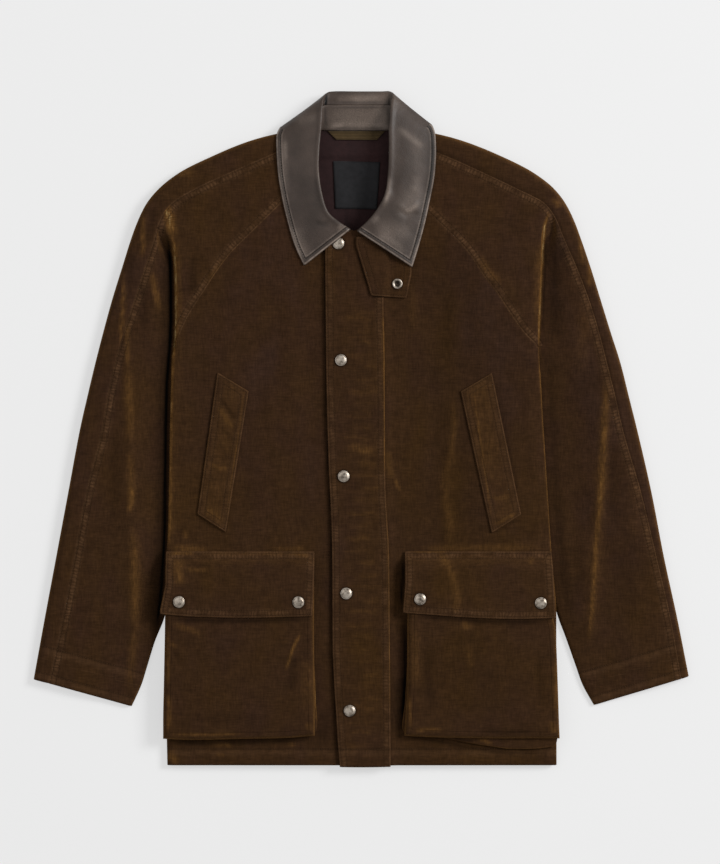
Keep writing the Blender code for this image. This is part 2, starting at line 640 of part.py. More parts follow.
def build_latch():
    grid = []
    for y, left, right in LATCH_ROWS:
        xs = (left, mix(left, 28.5, 0.5), 28.5, 34.5, 40.5, right)
        ys = [y - 3 * (y < 180) * (x - left) / (right - left) for x in xs]
        grid.append([(x, low, latch_z(x, y)) for x, low in zip(xs, ys)])
    sheet("throat_latch", grid, LATCH, SUEDED)


def build_welts():
    for side in (RIGHT, LEFT):
        corners = [(side.sign * out, y) for out, y in WELTS[side.name]]
        ring = (corners[0], corners[1], corners[3], corners[2])
        if side.sign > 0:
            ring = (corners[1], corners[0], corners[2], corners[3])
        quad_sheet(f"welt_{side.name}", ring, lambda x, y, s=side: body_z(s, abs(x), y) + GAP + DOUBLED,
                   DOUBLED, SUEDED, columns=2, rows=8)


def side_at(rows, y, column):
    return at([(row[0], row[column]) for row in rows], y)


def patch_point(pocket, share, v):
    """A point of a patch in plan: share 0 at its side, 1 at its front; v 0 at the mouth."""
    y = mix(POCKET_MOUTH_Y, PATCH_FOOT_Y, v)
    out = mix(side_at(pocket.patch_sides, y, 1), side_at(pocket.patch_sides, y, 2), share)
    return out, y + ease((v - 0.5) / 0.5) * (at(pocket.patch_bottom, out) - PATCH_FOOT_Y)


def build_pocket(pocket):
    """The patch, with its sides and bottom turned down towards the front."""
    turned_down = (1.0, 0.88, 0.5)
    shares = (0.0, 0.012, 0.04, 0.25, 0.5, 0.75, 0.96, 0.988, 1.0)
    depths = [(POCKET_MOUTH_Y - y) / (POCKET_MOUTH_Y - PATCH_FOOT_Y) for y in PATCH_LEVELS]
    depths += [0.965, 0.992, 1.0]
    grid = []
    for i, v in enumerate(depths):
        row = []
        for j, share in enumerate(shares):
            out, y = patch_point(pocket, share, v)
            base, top = panel_z(out, y), pocket_z(out, y)
            from_edge = min(j, len(shares) - 1 - j, len(depths) - 1 - i)
            height = turned_down[::-1][from_edge] if from_edge < 3 else 1.0
            row.append((pocket.sign * out, y, mix(base, top, height)))
        grid.append(row)
    sheet(f"pocket_{pocket.name}", grid, CLOTH, SUEDED, flip=pocket.sign > 0)


def build_gusset(pocket):
    """The bellows strip round the sides and bottom of a pocket, between patch and front."""
    sides = (0.06, 0.2, 0.4, 0.6, 0.8, 0.97)
    path = [(0.012, v) for v in sides]
    path += [(share, 0.985) for share in (0.06, 0.2, 0.35, 0.5, 0.65, 0.8, 0.94)]
    path += [(0.988, v) for v in sides[::-1]]
    grid = []
    for share, v in path:
        out, y = patch_point(pocket, share, v)
        base = panel_z(out, y)
        low = base + GUSSET_GAP
        high = mix(base, pocket_z(out, y), 0.5) - CLOTH - 2 * GAP
        out_by, down_by = 0.0, 0.0
        if share < 0.02:
            out_by = 0.8
        elif share > 0.98:
            out_by = -4.0 * ease((v - 0.3) / 0.5)
        else:
            down_by = 1.0 + pocket.sag * math.sin(math.pi * ease(1 - share)) ** 0.6
        grid.append([
            (pocket.sign * (out - 0.4), y, high),
            (pocket.sign * (out + out_by * 0.8), y - down_by, mix(low, high, 0.75)),
            (pocket.sign * (out + out_by), y - down_by, mix(low, high, 0.4)),
            (pocket.sign * (out - 0.4), y, low),
        ])
    sheet(f"gusset_{pocket.name}", grid, GUSSET, SUEDED, flip=pocket.sign < 0)


def build_flap(pocket):
    sign = pocket.sign
    rows, columns = 8, 6
    low_y = min(y for _, y in pocket.flap_bottom)
    grid = []
    for i in range(rows + 1):
        v = i / rows
        row = []
        for j in range(columns + 1):
            share = j / columns
            y0 = mix(FLAP_TOP_Y, low_y, v)
            out = mix(side_at(pocket.flap_sides, y0, 1), side_at(pocket.flap_sides, y0, 2), share)
            y = mix(FLAP_TOP_Y, at(pocket.flap_bottom, out), v)
            lift = FLAP_GAP + DOUBLED + POCKET_RISE * ease((-158 - y) / 26)
            row.append((sign * out, y, panel_z(out, y) + lift))
        grid.append(row)
    sheet(f"flap_{pocket.name}", grid, DOUBLED, SUEDED, flip=sign > 0)


# ---- snaps ---------------------------------------------------------------------------------

def snap_cap(name, x, y, seat):
    r, h = SNAP_RADIUS, SNAP_HEIGHT
    profile = [(0, 0), (0.93 * r, 0), (r, 0.3 * h), (0.72 * r, 0.82 * h), (0, h)]
    turned(name, profile, (x, y, seat + GAP), NICKEL)


def build_snaps():
    for number, (x, y) in enumerate(FRONT_SNAPS, 1):
        snap_cap(f"front_snap_{number}", x, y, placket_z(x, y) + 0.1)
    for pocket in POCKETS:
        for number, (x, y) in enumerate(pocket.snaps, 1):
            seat = panel_z(abs(x), y) + POCKET_RISE + GAP + DOUBLED
            snap_cap(f"flap_snap_{pocket.name}_{number}", x, y, seat + 0.1)
    x, y = LATCH_SNAP
    ring = [(3.4, 0.0), (6.5, 0.0), (6.7, 0.9), (5.6, 1.9), (4.0, 1.9), (3.4, 1.0)]
    turned("latch_snap", ring, (x, y, latch_z(x, y) + GAP + 0.5), NICKEL)


def main():
    for item in list(bpy.data.objects):
        bpy.data.objects.remove(item, do_unlink=True)
    build_back()
    build_fronts()
    build_placket()
    for side in (RIGHT, LEFT):
        build_sleeve(side)
    build_collar()
    build_neck()
    build_latch()
    build_welts()
    for pocket in POCKETS:
        build_pocket(pocket)
        build_gusset(pocket)
        build_flap(pocket)
    build_snaps()


main()
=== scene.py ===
"""Looks of the stable jacket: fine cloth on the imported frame, its stitching, leather and snaps.

All sizes are in millimetres, in the frame's axes: +X to the wearer's left, +Y to the collar,
+Z up from the surface. An "out" value is a distance from the centre line towards a sleeve.
"""
from collections import namedtuple
import math

import bpy
import numpy as np
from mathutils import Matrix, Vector, noise
from mathutils.bvhtree import BVHTree
from mathutils.kdtree import KDTree


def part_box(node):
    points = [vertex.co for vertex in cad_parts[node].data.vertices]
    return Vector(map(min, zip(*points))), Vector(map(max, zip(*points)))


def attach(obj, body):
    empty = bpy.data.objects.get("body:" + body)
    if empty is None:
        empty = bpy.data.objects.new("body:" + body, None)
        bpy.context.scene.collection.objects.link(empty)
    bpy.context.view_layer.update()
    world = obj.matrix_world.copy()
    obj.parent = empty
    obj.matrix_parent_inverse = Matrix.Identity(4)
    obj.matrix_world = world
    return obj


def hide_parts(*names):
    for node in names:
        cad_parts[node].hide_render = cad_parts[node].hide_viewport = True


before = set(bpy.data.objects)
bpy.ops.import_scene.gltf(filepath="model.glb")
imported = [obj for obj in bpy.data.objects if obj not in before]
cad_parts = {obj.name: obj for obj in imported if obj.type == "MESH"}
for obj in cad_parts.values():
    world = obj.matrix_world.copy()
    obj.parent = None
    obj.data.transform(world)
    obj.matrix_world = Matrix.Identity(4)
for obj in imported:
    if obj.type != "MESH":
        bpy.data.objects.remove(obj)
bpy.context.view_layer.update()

MM = 0.001


def cad(node):
    """Lowest and highest corner of a CAD node, in millimetres."""
    low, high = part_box(node)
    return np.array(low) / MM, np.array(high) / MM


SNAP_CAPS = [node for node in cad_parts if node.startswith(("front_snap", "flap_snap"))]

# ---- sizes ---------------------------------------------------------------------------------

CLOTH = 2.0
LEATHER = 2.4
GAP = 0.3
SEAM_GAP = 0.35
LINING = 1.0
LABEL = 0.8
TAPE = 1.2
DOUBLED = 2.2
LATCH = 3.0
OVERLAP = CLOTH + GAP
LAP_SLOPE = 10.0
POCKET_RISE = 12.0
HEM_Y = cad("front_left")[0][1]
EDGE_WIDTH = 12.0
CUFF_EDGE_WIDTH = 9.0
FOLD_END_Y = 105.0
HEM_DEPTH = 21.0
CUFF_DEPTHS = (11.0, 45.0)
BACK_MARGIN = 14.0
BACK_NECK_Y = 389.0
PLACKET_TOP = 256.0
PLACKET_FOOT_Y = -439.0
PLACKET_INSIDE = (-6, -100)
STAND_WALL = 1.8
STAND_GAP = 1.4
GUSSET = 1.2
FAR = 1000.0
GUSSET_GAP = 0.5
FLAP_GAP = 0.45
PITCH = 2.6             # of the mesh where the cloth shows
FADE = 40.0             # longest run over which a stroke comes up from nothing
STITCH = 3.2            # from one stitch to the next
STITCH_LENGTH = 2.3
PAST_END = 1.5          # how far a seam's marks run on past its last point
STITCHED_IN = 5.2       # the collar's row, from its edge
RAISED_PAST_STITCHES = 1.7

Side = namedtuple("Side", "name sign outer seam fold raglan back_raglan under_arm ridge fold_top cuff")
SleeveRow = namedtuple("SleeveRow", "outer_y seam_y inner_y")
CollarRow = namedtuple("CollarRow", "seam roll outer crown foot")
Pocket = namedtuple("Pocket", "name sign patch_sides patch_bottom flap_sides flap_bottom sag")

# Each outline is a list of (y, out), from the collar down.
RIGHT = Side(
    name="right",
    sign=-1,
    outer=[(392, 66), (385.5, 100), (375, 142), (354, 194), (333, 236), (312, 263), (292, 279.5),
           (271, 290), (250, 298), (209, 311), (167, 324), (125, 335.5), (84, 346), (42, 356),
           (0, 365.5), (-83, 381), (-166, 396.5), (-249, 412), (-326, 426)],
    seam=[(376, 66), (354, 121), (333, 169), (312, 215), (292, 247), (271, 261.5), (250, 268),
          (209, 281), (167, 294.5), (125, 308.5), (84, 320), (42, 329.5), (0, 336.5), (-83, 357),
          (-166, 372.5), (-249, 388.5), (-331, 406)],
    fold=[(262, 259), (250, 253), (240, 248), (225, 245), (205, 243.5), (170, 242.5), (125, 242),
          (105, 243), (92, 246), (60, 247), (0, 248.5), (-60, 249.5), (-145, 251.5), (-170, 253.5),
          (-330, 254), (-438, 252)],
    raglan=[(332, 64), (291, 105.5), (257, 140), (224, 172.5), (172, 208.5), (140, 228), (105, 243)],
    back_raglan=[(366, 66), (330, 100), (270, 150), (210, 190), (150, 215), (80, 230)],
    under_arm=[(105, 235), (60, 237), (0, 238), (-80, 239), (-150, 241), (-200, 245.5),
               (-247, 257), (-277, 269), (-311, 279.5), (-332, 286), (-361, 299)],
    ridge=[(105, 296), (0, 301), (-80, 299), (-170, 296), (-300, 293)],
    fold_top=262,
    cuff=SleeveRow(-326, -331, -361),
)
LEFT = Side(
    name="left",
    sign=1,
    outer=[(392, 50), (384, 95), (375, 130), (354, 183), (333, 224), (312, 251), (292, 266.5),
           (271, 277), (250, 285), (209, 299), (167, 312), (125, 325), (84, 338), (42, 348.5),
           (0, 359), (-83, 378), (-166, 394), (-249, 412), (-322, 426.5)],
    seam=[(377, 50), (354, 110), (333, 157), (312, 201), (292, 239), (271, 254), (250, 262.5),
          (209, 280.5), (167, 296.5), (125, 309.5), (84, 320), (42, 330.5), (0, 340), (-83, 364),
          (-166, 384), (-249, 403), (-325, 416.5)],
    fold=[(279, 244), (268, 239.5), (255, 237.5), (220, 236), (170, 234), (120, 232), (100, 231.5),
          (60, 234), (20, 236), (-20, 238.5), (-60, 241), (-100, 243.5), (-140, 246), (-200, 251),
          (-240, 254), (-438, 254.5)],
    raglan=[(321, 50), (278, 89.5), (252, 117), (229, 138.5), (197, 160), (175, 177), (147, 195.5),
            (124, 212), (105, 231.5)],
    back_raglan=[(366, 52), (330, 88), (270, 138), (210, 180), (150, 207), (80, 222)],
    under_arm=[(105, 224), (60, 226), (0, 229), (-80, 233.5), (-150, 239), (-200, 245),
               (-246, 257.5), (-270, 266.5), (-311, 281), (-332, 288.5), (-359.5, 303.5)],
    ridge=[(105, 320), (0, 316), (-80, 310), (-170, 304), (-300, 294)],
    fold_top=279,
    cuff=SleeveRow(-322, -325, -359.5),
)
SIDES = (RIGHT, LEFT)

# How far below its top the armpit fold has dropped and has tucked itself under.
FOLD_DROP = [(0, 0.0), (-14, 0.45), (-27, 0.85), (-41, 1.0)]
FOLD_OVERHANG = [(-24, 0.0), (-41, 0.55), (-56, 1.0)]
# Level of the sleeve's outer edge, and of its inner or back edge, for a level of the seam.
OUTER_LEVEL = [(376, 392), (364, 385.5), (350, 375), (327, 354), (292, 312), (275, 292), (253, 268),
               (225, 235), (193, 200), (122, 125), (38, 42), (-90, -83), (-291, -284)]
INNER_LEVEL = [(376, 366), (364, 345), (350, 305), (327, 262), (308, 225), (292, 190), (275, 160),
               (253, 130), (225, 107), (193, 92), (155, 80.5), (122, 72), (95, 64), (82, 54),
               (45, 25), (-10, -24), (-76, -86), (-162, -174), (-248, -265), (-291, -313)]

BODY_HEIGHT = [(400, 16), (340, 19), (290, 19), (200, 18), (100, 16), (0, 14.8), (-200, 13.5),
               (-330, 12.5), (-400, 11.5), (-438, 10)]
SEAM_HEIGHT = [(400, 13), (380, 15.5), (350, 18), (300, 18.5), (260, 17), (210, 15), (100, 14.5),
               (0, 14.5), (-150, 13.5), (-300, 12), (-361, 11)]
NOSE_HEIGHT = [(300, 12.5), (100, 12), (-200, 11.5), (-260, 9), (-330, 7), (-438, 6.2)]

FRONT_RIGHT_INNER = [(330, 64), (305, 62), (285, 56), (270, 46), (262, 34), (257, 12), (248, -10),
                     (235, -20), (-438, -20)]
FRONT_LEFT_INNER = [(318, 50), (305, 48), (288, 41), (273, 29), (263, 14), (256, -10), (249, -30),
                    (240, -43.5)]
PLACKET_EDGE = [(256, -46), (228, -46), (110, -45), (40, -44), (-60, -41), (-110, -38.5),
                (-170, -37), (-280, -36.5), (-330, -34.5), (-370, -32), (-410, -29.5), (-439, -27)]
PLACKET_SEAM = [(256, 28), (170, 28.5), (95, 30), (-67, 31), (-171, 36), (-439, 38)]

# The fall's stations from the right point round the back of the neck to the left point:
# where it meets the stand, its roll line, its outer edge, and the foot of the stand there.
COLLAR_ROWS = [CollarRow(*row) for row in (
    ((-16.5, 256.5, 26), (-13.5, 258.5, 31), (-74, 212, 21.7), 3.0, (-18, 262, 20)),
    ((-34, 268, 26), (-31, 270, 32.5), (-86, 238, 22), 3.5, (-35, 266, 14)),
    ((-45, 280, 25), (-42.5, 281, 33.5), (-95, 268, 22.3), 3.5, (-50, 277, 10)),
    ((-53, 305, 25), (-50.5, 305, 34), (-102.5, 300, 22.5), 3.0, (-57, 303, 9.5)),
    ((-57, 335, 25), (-54.5, 335, 34), (-107.5, 331, 22.3), 2.5, (-60, 332, 9.5)),
    ((-56, 366, 24), (-53.5, 366, 33), (-109.3, 356, 22), 2.0, (-60, 356, 9.5)),
    ((-53, 395, 22), (-50.8, 396, 31), (-109.8, 374, 20.5), 1.5, (-58, 374, 9.5)),
    ((-50.5, 412, 20), (-49.5, 421, 27), (-109, 384, 16.5), 1.0, (-55, 384, 9.2)),
    ((-49, 420, 19), (-47.5, 432, 21), (-104, 392.5, 9), 0.0, (-51, 388, 9)),
    ((-46, 421, 18.5), (-43, 437, 14), (-97, 386, 0), 0.0, (-47, 388, 8.8)),
    ((-36, 421, 18), (-36, 438.3, 12), (-72, 365, 0), 0.0, (-36, 388, 8.6)),
    ((-5, 421, 18), (-5, 438.3, 12), (-5, 357, 0), 0.0, (-5, 388, 8.6)),
    ((26, 421, 18), (26, 438.3, 12), (60, 365, 0), 0.0, (26, 388, 8.6)),
    ((36, 421, 18.5), (37, 438.3, 13.5), (86, 384, 0), 0.0, (37, 388, 8.8)),
    ((38, 420, 19), (41.5, 434.5, 20), (91, 396, 9.6), 0.0, (41, 388, 9)),
    ((37.5, 412, 20), (38.5, 421, 27), (96, 385, 16.5), 1.0, (43, 384, 9.2)),
    ((37.5, 395, 22), (36, 396, 31), (97, 373, 20.5), 1.5, (43.5, 374, 9.5)),
    ((38, 366, 24), (36, 366, 33), (97.2, 354, 22), 2.5, (43.5, 356, 9.5)),
    ((38, 335, 25), (35, 335, 34), (95, 326, 22.3), 3.5, (43.5, 332, 9.5)),
    ((34, 305, 25), (31, 305, 34), (89.5, 297, 22.5), 4.0, (41, 303, 9.5)),
    ((24, 284, 25.5), (21, 285, 33.5), (83, 267, 23), 4.5, (32, 281, 12)),
    ((12, 269, 26), (9, 270, 33), (75.5, 239, 24), 4.5, (19, 268, 16)),
    ((-2, 255, 27), (-5.5, 256.5, 31.5), (66.5, 210, 25.3), 4.0, (4, 261, 21)))]

PATCH_TOP_Y = cad("pocket_left")[1][1]
PATCH_FOOT_Y = -400.0
FLAP_TOP_Y = cad("flap_left")[1][1]
POCKETS = (
    Pocket(
        name="right",
        sign=-1,
        patch_sides=[(-178, 254, 61), (-250, 254.5, 61), (-330, 256, 60.5), (-380, 257, 60),
                     (-400, 257, 60)],
        patch_bottom=[(257, -403), (220, -404.5), (150, -403), (100, -402), (60, -399)],
        flap_sides=[(-160, 253, 61), (-195, 252.5, 61.5), (-220, 256, 62.5), (-240, 260, 64)],
        flap_bottom=[(260, -240), (220, -243.5), (150, -245), (64, -243)],
        sag=[(257, 1.5), (60, 1.5)],
    ),
    Pocket(
        name="left",
        sign=1,
        patch_sides=[(-178, 243, 61.5), (-235, 247, 60.5), (-262, 252.5, 60), (-330, 255.5, 60),
                     (-375, 257, 57.5), (-400, 258, 56)],
        patch_bottom=[(258, -402.5), (180, -402.5), (110, -401.5), (56, -399)],
        flap_sides=[(-160, 247, 57.5), (-195, 249, 58), (-245, 251.5, 55)],
        flap_bottom=[(251.5, -245.5), (195, -246.5), (145, -245), (90, -241), (55, -238.5)],
        sag=[(257, 12), (250, 14), (225, 17), (200, 17.5), (170, 14), (130, 8), (95, 1.5), (56, 1.5)],
    ),
)
# Corners of a welt, as (out, y): top side, top front, bottom side, bottom front.
WELTS = {
    "right": ((186, 72), (146.5, 48), (212, -111), (176, -134)),
    "left": ((169.5, 71.5), (130, 48), (207.5, -111.5), (170, -135)),
}
# Left and right edges of the throat latch and of the lining, as (y, x).
LATCH_LEFT = [(248, -6), (240, -6), (222, -1), (204, 4.5), (188, 9.5), (173, 13.5)]
LATCH_RIGHT = [(248, 50), (240, 54), (222, 62), (204, 65), (188, 62), (173, 58.5)]
LINING_LEFT = [(388.5, -60), (356.5, -62), (348.5, -66), (236, -76)]
LINING_RIGHT = [(388.5, 46), (356.5, 48), (348.5, 52), (236, 61)]
LABEL_CORNERS = ((-36, 348), (24.5, 346.5), (20.5, 285.5), (-33.5, 286.5))
LOOP_CORNERS = ((-43.5, 387), (31, 387), (20.5, 375.5), (-32, 376))


# ---- curves --------------------------------------------------------------------------------

def hermite(b, c, m1, m2, s):
    return ((2 * s**3 - 3 * s**2 + 1) * b + (s**3 - 2 * s**2 + s) * m1
            + (3 * s**2 - 2 * s**3) * c + (s**3 - s**2) * m2)


def at(rows, key):
    """Value at key on a smooth curve through (key, value) rows whose keys fall."""
    keys, values = np.array([row[:2] for row in rows], float).T
    steps = np.diff(values) / np.diff(keys)
    same = steps[:-1] * steps[1:] > 0
    total = np.where(same, steps[:-1] + steps[1:], 1.0)
    slopes = np.where(same, 2 * steps[:-1] * steps[1:] / total, 0.0)
    slopes = np.concatenate([steps[:1], slopes, steps[-1:]])
    key = np.clip(key, keys[-1], keys[0])
    i = np.clip(np.searchsorted(-keys, -key, side="right") - 1, 0, len(steps) - 1)
    width = keys[i + 1] - keys[i]
    t = (key - keys[i]) / width
    return hermite(values[i], values[i + 1], slopes[i] * width, slopes[i + 1] * width, t)


def ease(t):
    """0 to 1, level at both ends."""
    t = np.clip(t, 0.0, 1.0)
    return t * t * (3 - 2 * t)


def mix(a, b, t):
    return a + (b - a) * t


def rounding(distance, width):
    """Share of full height at a distance inside a rounded edge."""
    t = 1 - np.clip(distance / width, 0.0, 1.0)
    return np.sqrt(1 - t * t)


def levels(high, low, pitch=PITCH):
    """Levels from high to low, about a pitch apart."""
    return np.linspace(high, low, max(int(round(abs(high - low) / pitch)), 1) + 1)


def edge_steps(width, count):
    """Distances from a width down to 0 that suit a rounded edge."""
    return [width * (1 - math.cos(math.pi / 2 * (1 - k / count))) for k in range(1, count + 1)]


def spline(points, counts):
    """Along axis 1, smooth curves through the points, with so many steps in each span."""
    q = np.concatenate([2 * points[:, :1] - points[:, 1:2], points,
                        2 * points[:, -1:] - points[:, -2:-1]], axis=1)
    found = []
    for k, count in enumerate(counts):
        a, b, c, d = (q[:, k + i] for i in range(4))
        t1, t2, t3 = (np.maximum(np.linalg.norm(v, axis=-1, keepdims=True), 1e-3) ** 0.5
                      for v in (b - a, c - b, d - c))
        m1 = (c - b) + t2 * ((b - a) / t1 - (c - a) / (t1 + t2))
        m2 = (c - b) + t2 * ((d - c) / t3 - (d - b) / (t2 + t3))
        found += [hermite(b, c, m1, m2, s / count) for s in range(count)]
    return np.stack(found + [points[:, -1]], axis=1)


def span_counts(points, pitch=PITCH):
    spans = np.linalg.norm(np.diff(points, axis=1), axis=-1)
    lengths = np.nanpercentile(spans, 75, axis=0)
    return [max(int(round(length / pitch)), 1) for length in lengths]


def fine_rows(rows, pitch=PITCH):
    """Rows of points, some missing at a row's ends, with smooth curves run through each row."""
    coarse = np.array([[(np.nan,) * 3 if p is None else p for p in row] for row in rows], float)
    counts = span_counts(coarse, pitch)
    starts = np.concatenate([[0], np.cumsum(counts)])
    fine = np.full((len(rows), starts[-1] + 1, 3), np.nan)
    there = ~np.isnan(coarse[:, :, 0])
    for pattern in {tuple(row) for row in there.tolist()}:
        members = np.all(there == pattern, axis=1)
        first = pattern.index(True)
        last = len(pattern) - 1 - pattern[::-1].index(True)
        part = spline(coarse[members, first:last + 1], counts[first:last])
        fine[members, starts[first]:starts[last] + 1] = part
    return fine, starts


def refined(rows, pitch=PITCH):
    """Smooth curves run both ways through whole rows of points."""
    grid, _ = fine_rows(rows, pitch)
    turned = grid.transpose(1, 0, 2)
    return spline(turned, span_counts(turned, pitch)).transpose(1, 0, 2)


# ---- heights -------------------------------------------------------------------------------

def floor_lift(x, y):
    """How far the collar's hidden back leaf raises what lies on it."""
    return 3.0 * ease((y - 348.5 - 0.012 * np.maximum(np.abs(x + 6) - 75, 0) ** 2) / 8)


def panel_z(x, y):
    """Upper face of the body away from its edges."""
    return at(BODY_HEIGHT, y) + 1.2 * (1 - (x / 250) ** 2)


def body_z(side, out, y):
    """Upper face of the body, rounded off at its fold or side edge."""
    height = panel_z(out, y)
    nose = at(NOSE_HEIGHT, y)
    distance = at(side.fold, y) - out
    drop = at(FOLD_DROP, y - side.fold_top)
    return height - drop * (height - nose) * (1 - rounding(distance, EDGE_WIDTH))


def right_z(out, y):
    return body_z(RIGHT, out, y)


def lap_z(x, y):
    """Upper face of the left front, which rises where it laps over the right front."""
    past_seam = (x - at(PLACKET_SEAM, y) - 1.5) / LAP_SLOPE
    return body_z(LEFT, x, y) + OVERLAP * (1 - ease(past_seam))


def placket_z(x, y):
    return lap_z(x, y) + OVERLAP


def pocket_z(x, y):
    """Outer face of a pocket patch."""
    return panel_z(x, y) + POCKET_RISE * ease((-161 - y) / 26)


# ---- strokes: creases, painted sheen and painted shade -------------------------------------

Stroke = namedtuple("Stroke", "amount width path")
STROKE_REACH = 3        # widths from its path over which a stroke is worked out
STROKE_END_SHARE = 0.3  # most of its length that either end of a stroke fades over
UNREACHED = 1e9


def measured(path):
    """A path as an array, and how far along it each of its points is."""
    path = np.array(path, float)
    lengths = np.linalg.norm(np.diff(path, axis=0), axis=1)
    return path, np.concatenate([[0], np.cumsum(lengths)])


def stroke_sum(points, strokes):
    """Sum of soft strokes at each point: full along a stroke's path, gone at its ends."""
    x, y = points[..., 0], points[..., 1]
    total = np.zeros(x.shape)
    for stroke in strokes:
        path, along_path = measured(stroke.path)
        reach = STROKE_REACH * stroke.width
        low, high = path.min(axis=0) - reach, path.max(axis=0) + reach
        near = (x > low[0]) & (x < high[0]) & (y > low[1]) & (y < high[1])
        if not near.any():
            continue
        px, py = x[near], y[near]
        nearest, along = np.full(px.shape, UNREACHED), np.zeros(px.shape)
        for (x0, y0), (x1, y1), start in zip(path, path[1:], along_path):
            run = math.hypot(x1 - x0, y1 - y0)
            t = np.clip(((px - x0) * (x1 - x0) + (py - y0) * (y1 - y0)) / run**2, 0, 1)
            distance = np.hypot(px - x0 - t * (x1 - x0), py - y0 - t * (y1 - y0))
            closer = distance < nearest
            nearest = np.where(closer, distance, nearest)
            along = np.where(closer, start + t * run, along)
        fade = np.minimum(along, along_path[-1] - along) / min(STROKE_END_SHARE * along_path[-1], FADE)
        total[near] += stroke.amount * ease(fade) * np.exp(-(nearest / stroke.width) ** 2)
    return total


def unevenness(grid, size, seed):
    """Smooth noise between -1 and 1, with lumps of about a size."""
    places = np.nan_to_num(grid).reshape(-1, 3)[:, :2] / size
    values = [noise.noise(Vector((x + seed, y, seed))) for x, y in places]
    return np.array(values).reshape(grid.shape[:2])


# ---- seams ---------------------------------------------------------------------------------

def sampled(path, spacing=1.0):
    """Points, distances along and directions, a spacing apart on a path."""
    path, ends = measured(path)
    along = np.linspace(0, ends[-1], max(int(ends[-1] / spacing), 2) + 1)
    points = np.stack([np.interp(along, ends, path[:, k]) for k in (0, 1)], axis=1)
    direction = np.gradient(points, axis=0)
    return points, along, direction / np.linalg.norm(direction, axis=1, keepdims=True)


Seam = namedtuple("Seam", "path inside")


def side_of(path, inside):
    """1 if the inside point lies left of the path's middle, else -1."""
    points, _, directions = sampled(path)
    k = len(points) // 2
    (dx, dy), (px, py) = directions[k], np.array(inside) - points[k]
    return 1 if dx * py - dy * px > 0 else -1


def offset_path(path, distance, inside):
    """The path moved towards the inside point by a distance, with its corners kept."""
    path = np.array(path, float)
    closed = np.allclose(path[0], path[-1])
    runs = np.diff(path, axis=0)
    runs /= np.linalg.norm(runs, axis=1, keepdims=True)
    normals = np.stack([-runs[:, 1], runs[:, 0]], axis=1) * side_of(path, inside)
    first, last = (normals[-1:], normals[:1]) if closed else (normals[:1], normals[-1:])
    before, after = np.concatenate([first, normals]), np.concatenate([normals, last])
    mitre = (before + after) / (1 + np.sum(before * after, axis=1, keepdims=True))
    return path + distance * mitre


def seam_fields(grid, seams):
    """Distance across the nearest seam, positive on its inside, and along it; far off with none."""
    shape = grid.shape[:2]
    if not seams:
        return np.full(shape, FAR), np.full(shape, FAR)
    points, alongs, directions, signs = [], [], [], []
    for seam in seams:
        found, along, direction = sampled(seam.path)
        points.append(found)
        alongs.append(along + FAR * len(alongs))
        directions.append(direction)
        signs.append(np.full(len(found), side_of(*seam)))
    points, alongs = np.concatenate(points), np.concatenate(alongs)
    directions, signs = np.concatenate(directions), np.concatenate(signs)
    tree = KDTree(len(points))
    for k, (x, y) in enumerate(points):
        tree.insert((x, y, 0), k)
    tree.balance()
    places = np.nan_to_num(grid).reshape(-1, 3)[:, :2]
    nearest = np.array([tree.find((x, y, 0))[1] for x, y in places])
    to_place = places - points[nearest]
    forward = np.sum(to_place * directions[nearest], axis=1)
    left = directions[nearest, 0] * to_place[:, 1] - directions[nearest, 1] * to_place[:, 0]
    beyond = np.maximum(np.abs(forward) - 1, 0)
    across = np.where(left * signs[nearest] < 0, -1, 1) * np.hypot(left, beyond)
    across = np.where(beyond > PAST_END, FAR, across)
    return across.reshape(shape), (alongs[nearest] + forward).reshape(shape)


# ---- shells --------------------------------------------------------------------------------

Cloth = namedtuple("Cloth", "piece points quads area size")
EDGE_BULGE = 0.3        # of the wall, by which a cut edge rounds outward
SNAP_RING_SHADE = 0.5
SNAP_RING_WIDTH = 1.8
cloths = {}


def quads_of(grid, keep=None, flip=False):
    """Corner numbers of the quads whose four corners are there."""
    rows, columns = grid.shape[:2]
    number = np.arange(rows * columns).reshape(rows, columns)
    ring = (number[:-1, :-1], number[1:, :-1], number[1:, 1:], number[:-1, 1:])
    there = ~np.isnan(grid[..., 0])
    good = there[:-1, :-1] & there[1:, :-1] & there[1:, 1:] & there[:-1, 1:]
    if keep is not None:
        good &= keep
    quads = np.stack(ring, axis=-1)[good]
    return quads[:, ::-1] if flip else quads


def unit(vectors):
    return vectors / np.maximum(np.linalg.norm(vectors, axis=-1, keepdims=True), 1e-9)


def face_vectors(points, quads):
    a, b, c, d = (points[quads[:, k]] for k in range(4))
    return np.cross(c - a, d - b) / 2


def normals_of(points, quads):
    total = np.zeros_like(points)
    faces = face_vectors(points, quads)
    for k in range(4):
        np.add.at(total, quads[:, k], faces)
    return unit(total)


def border_of(quads):
    """Directed edges that belong to one quad only."""
    edges = np.concatenate([quads[:, [k, (k + 1) % 4]] for k in range(4)])
    count = quads.max() + 1
    ways, back = edges[:, 0] * count + edges[:, 1], edges[:, 1] * count + edges[:, 0]
    return edges[~np.isin(ways, back)]


def add_piece(name, points, faces, material):
    """A smooth mesh from points in millimetres, riding on the frame."""
    mesh = bpy.data.meshes.new(name)
    mesh.from_pydata((points * MM).tolist(), [], faces)
    mesh.polygons.foreach_set("use_smooth", [True] * len(mesh.polygons))
    mesh.materials.append(material)
    piece = bpy.data.objects.new(name, mesh)
    bpy.context.scene.collection.objects.link(piece)
    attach(piece, "root")
    return piece


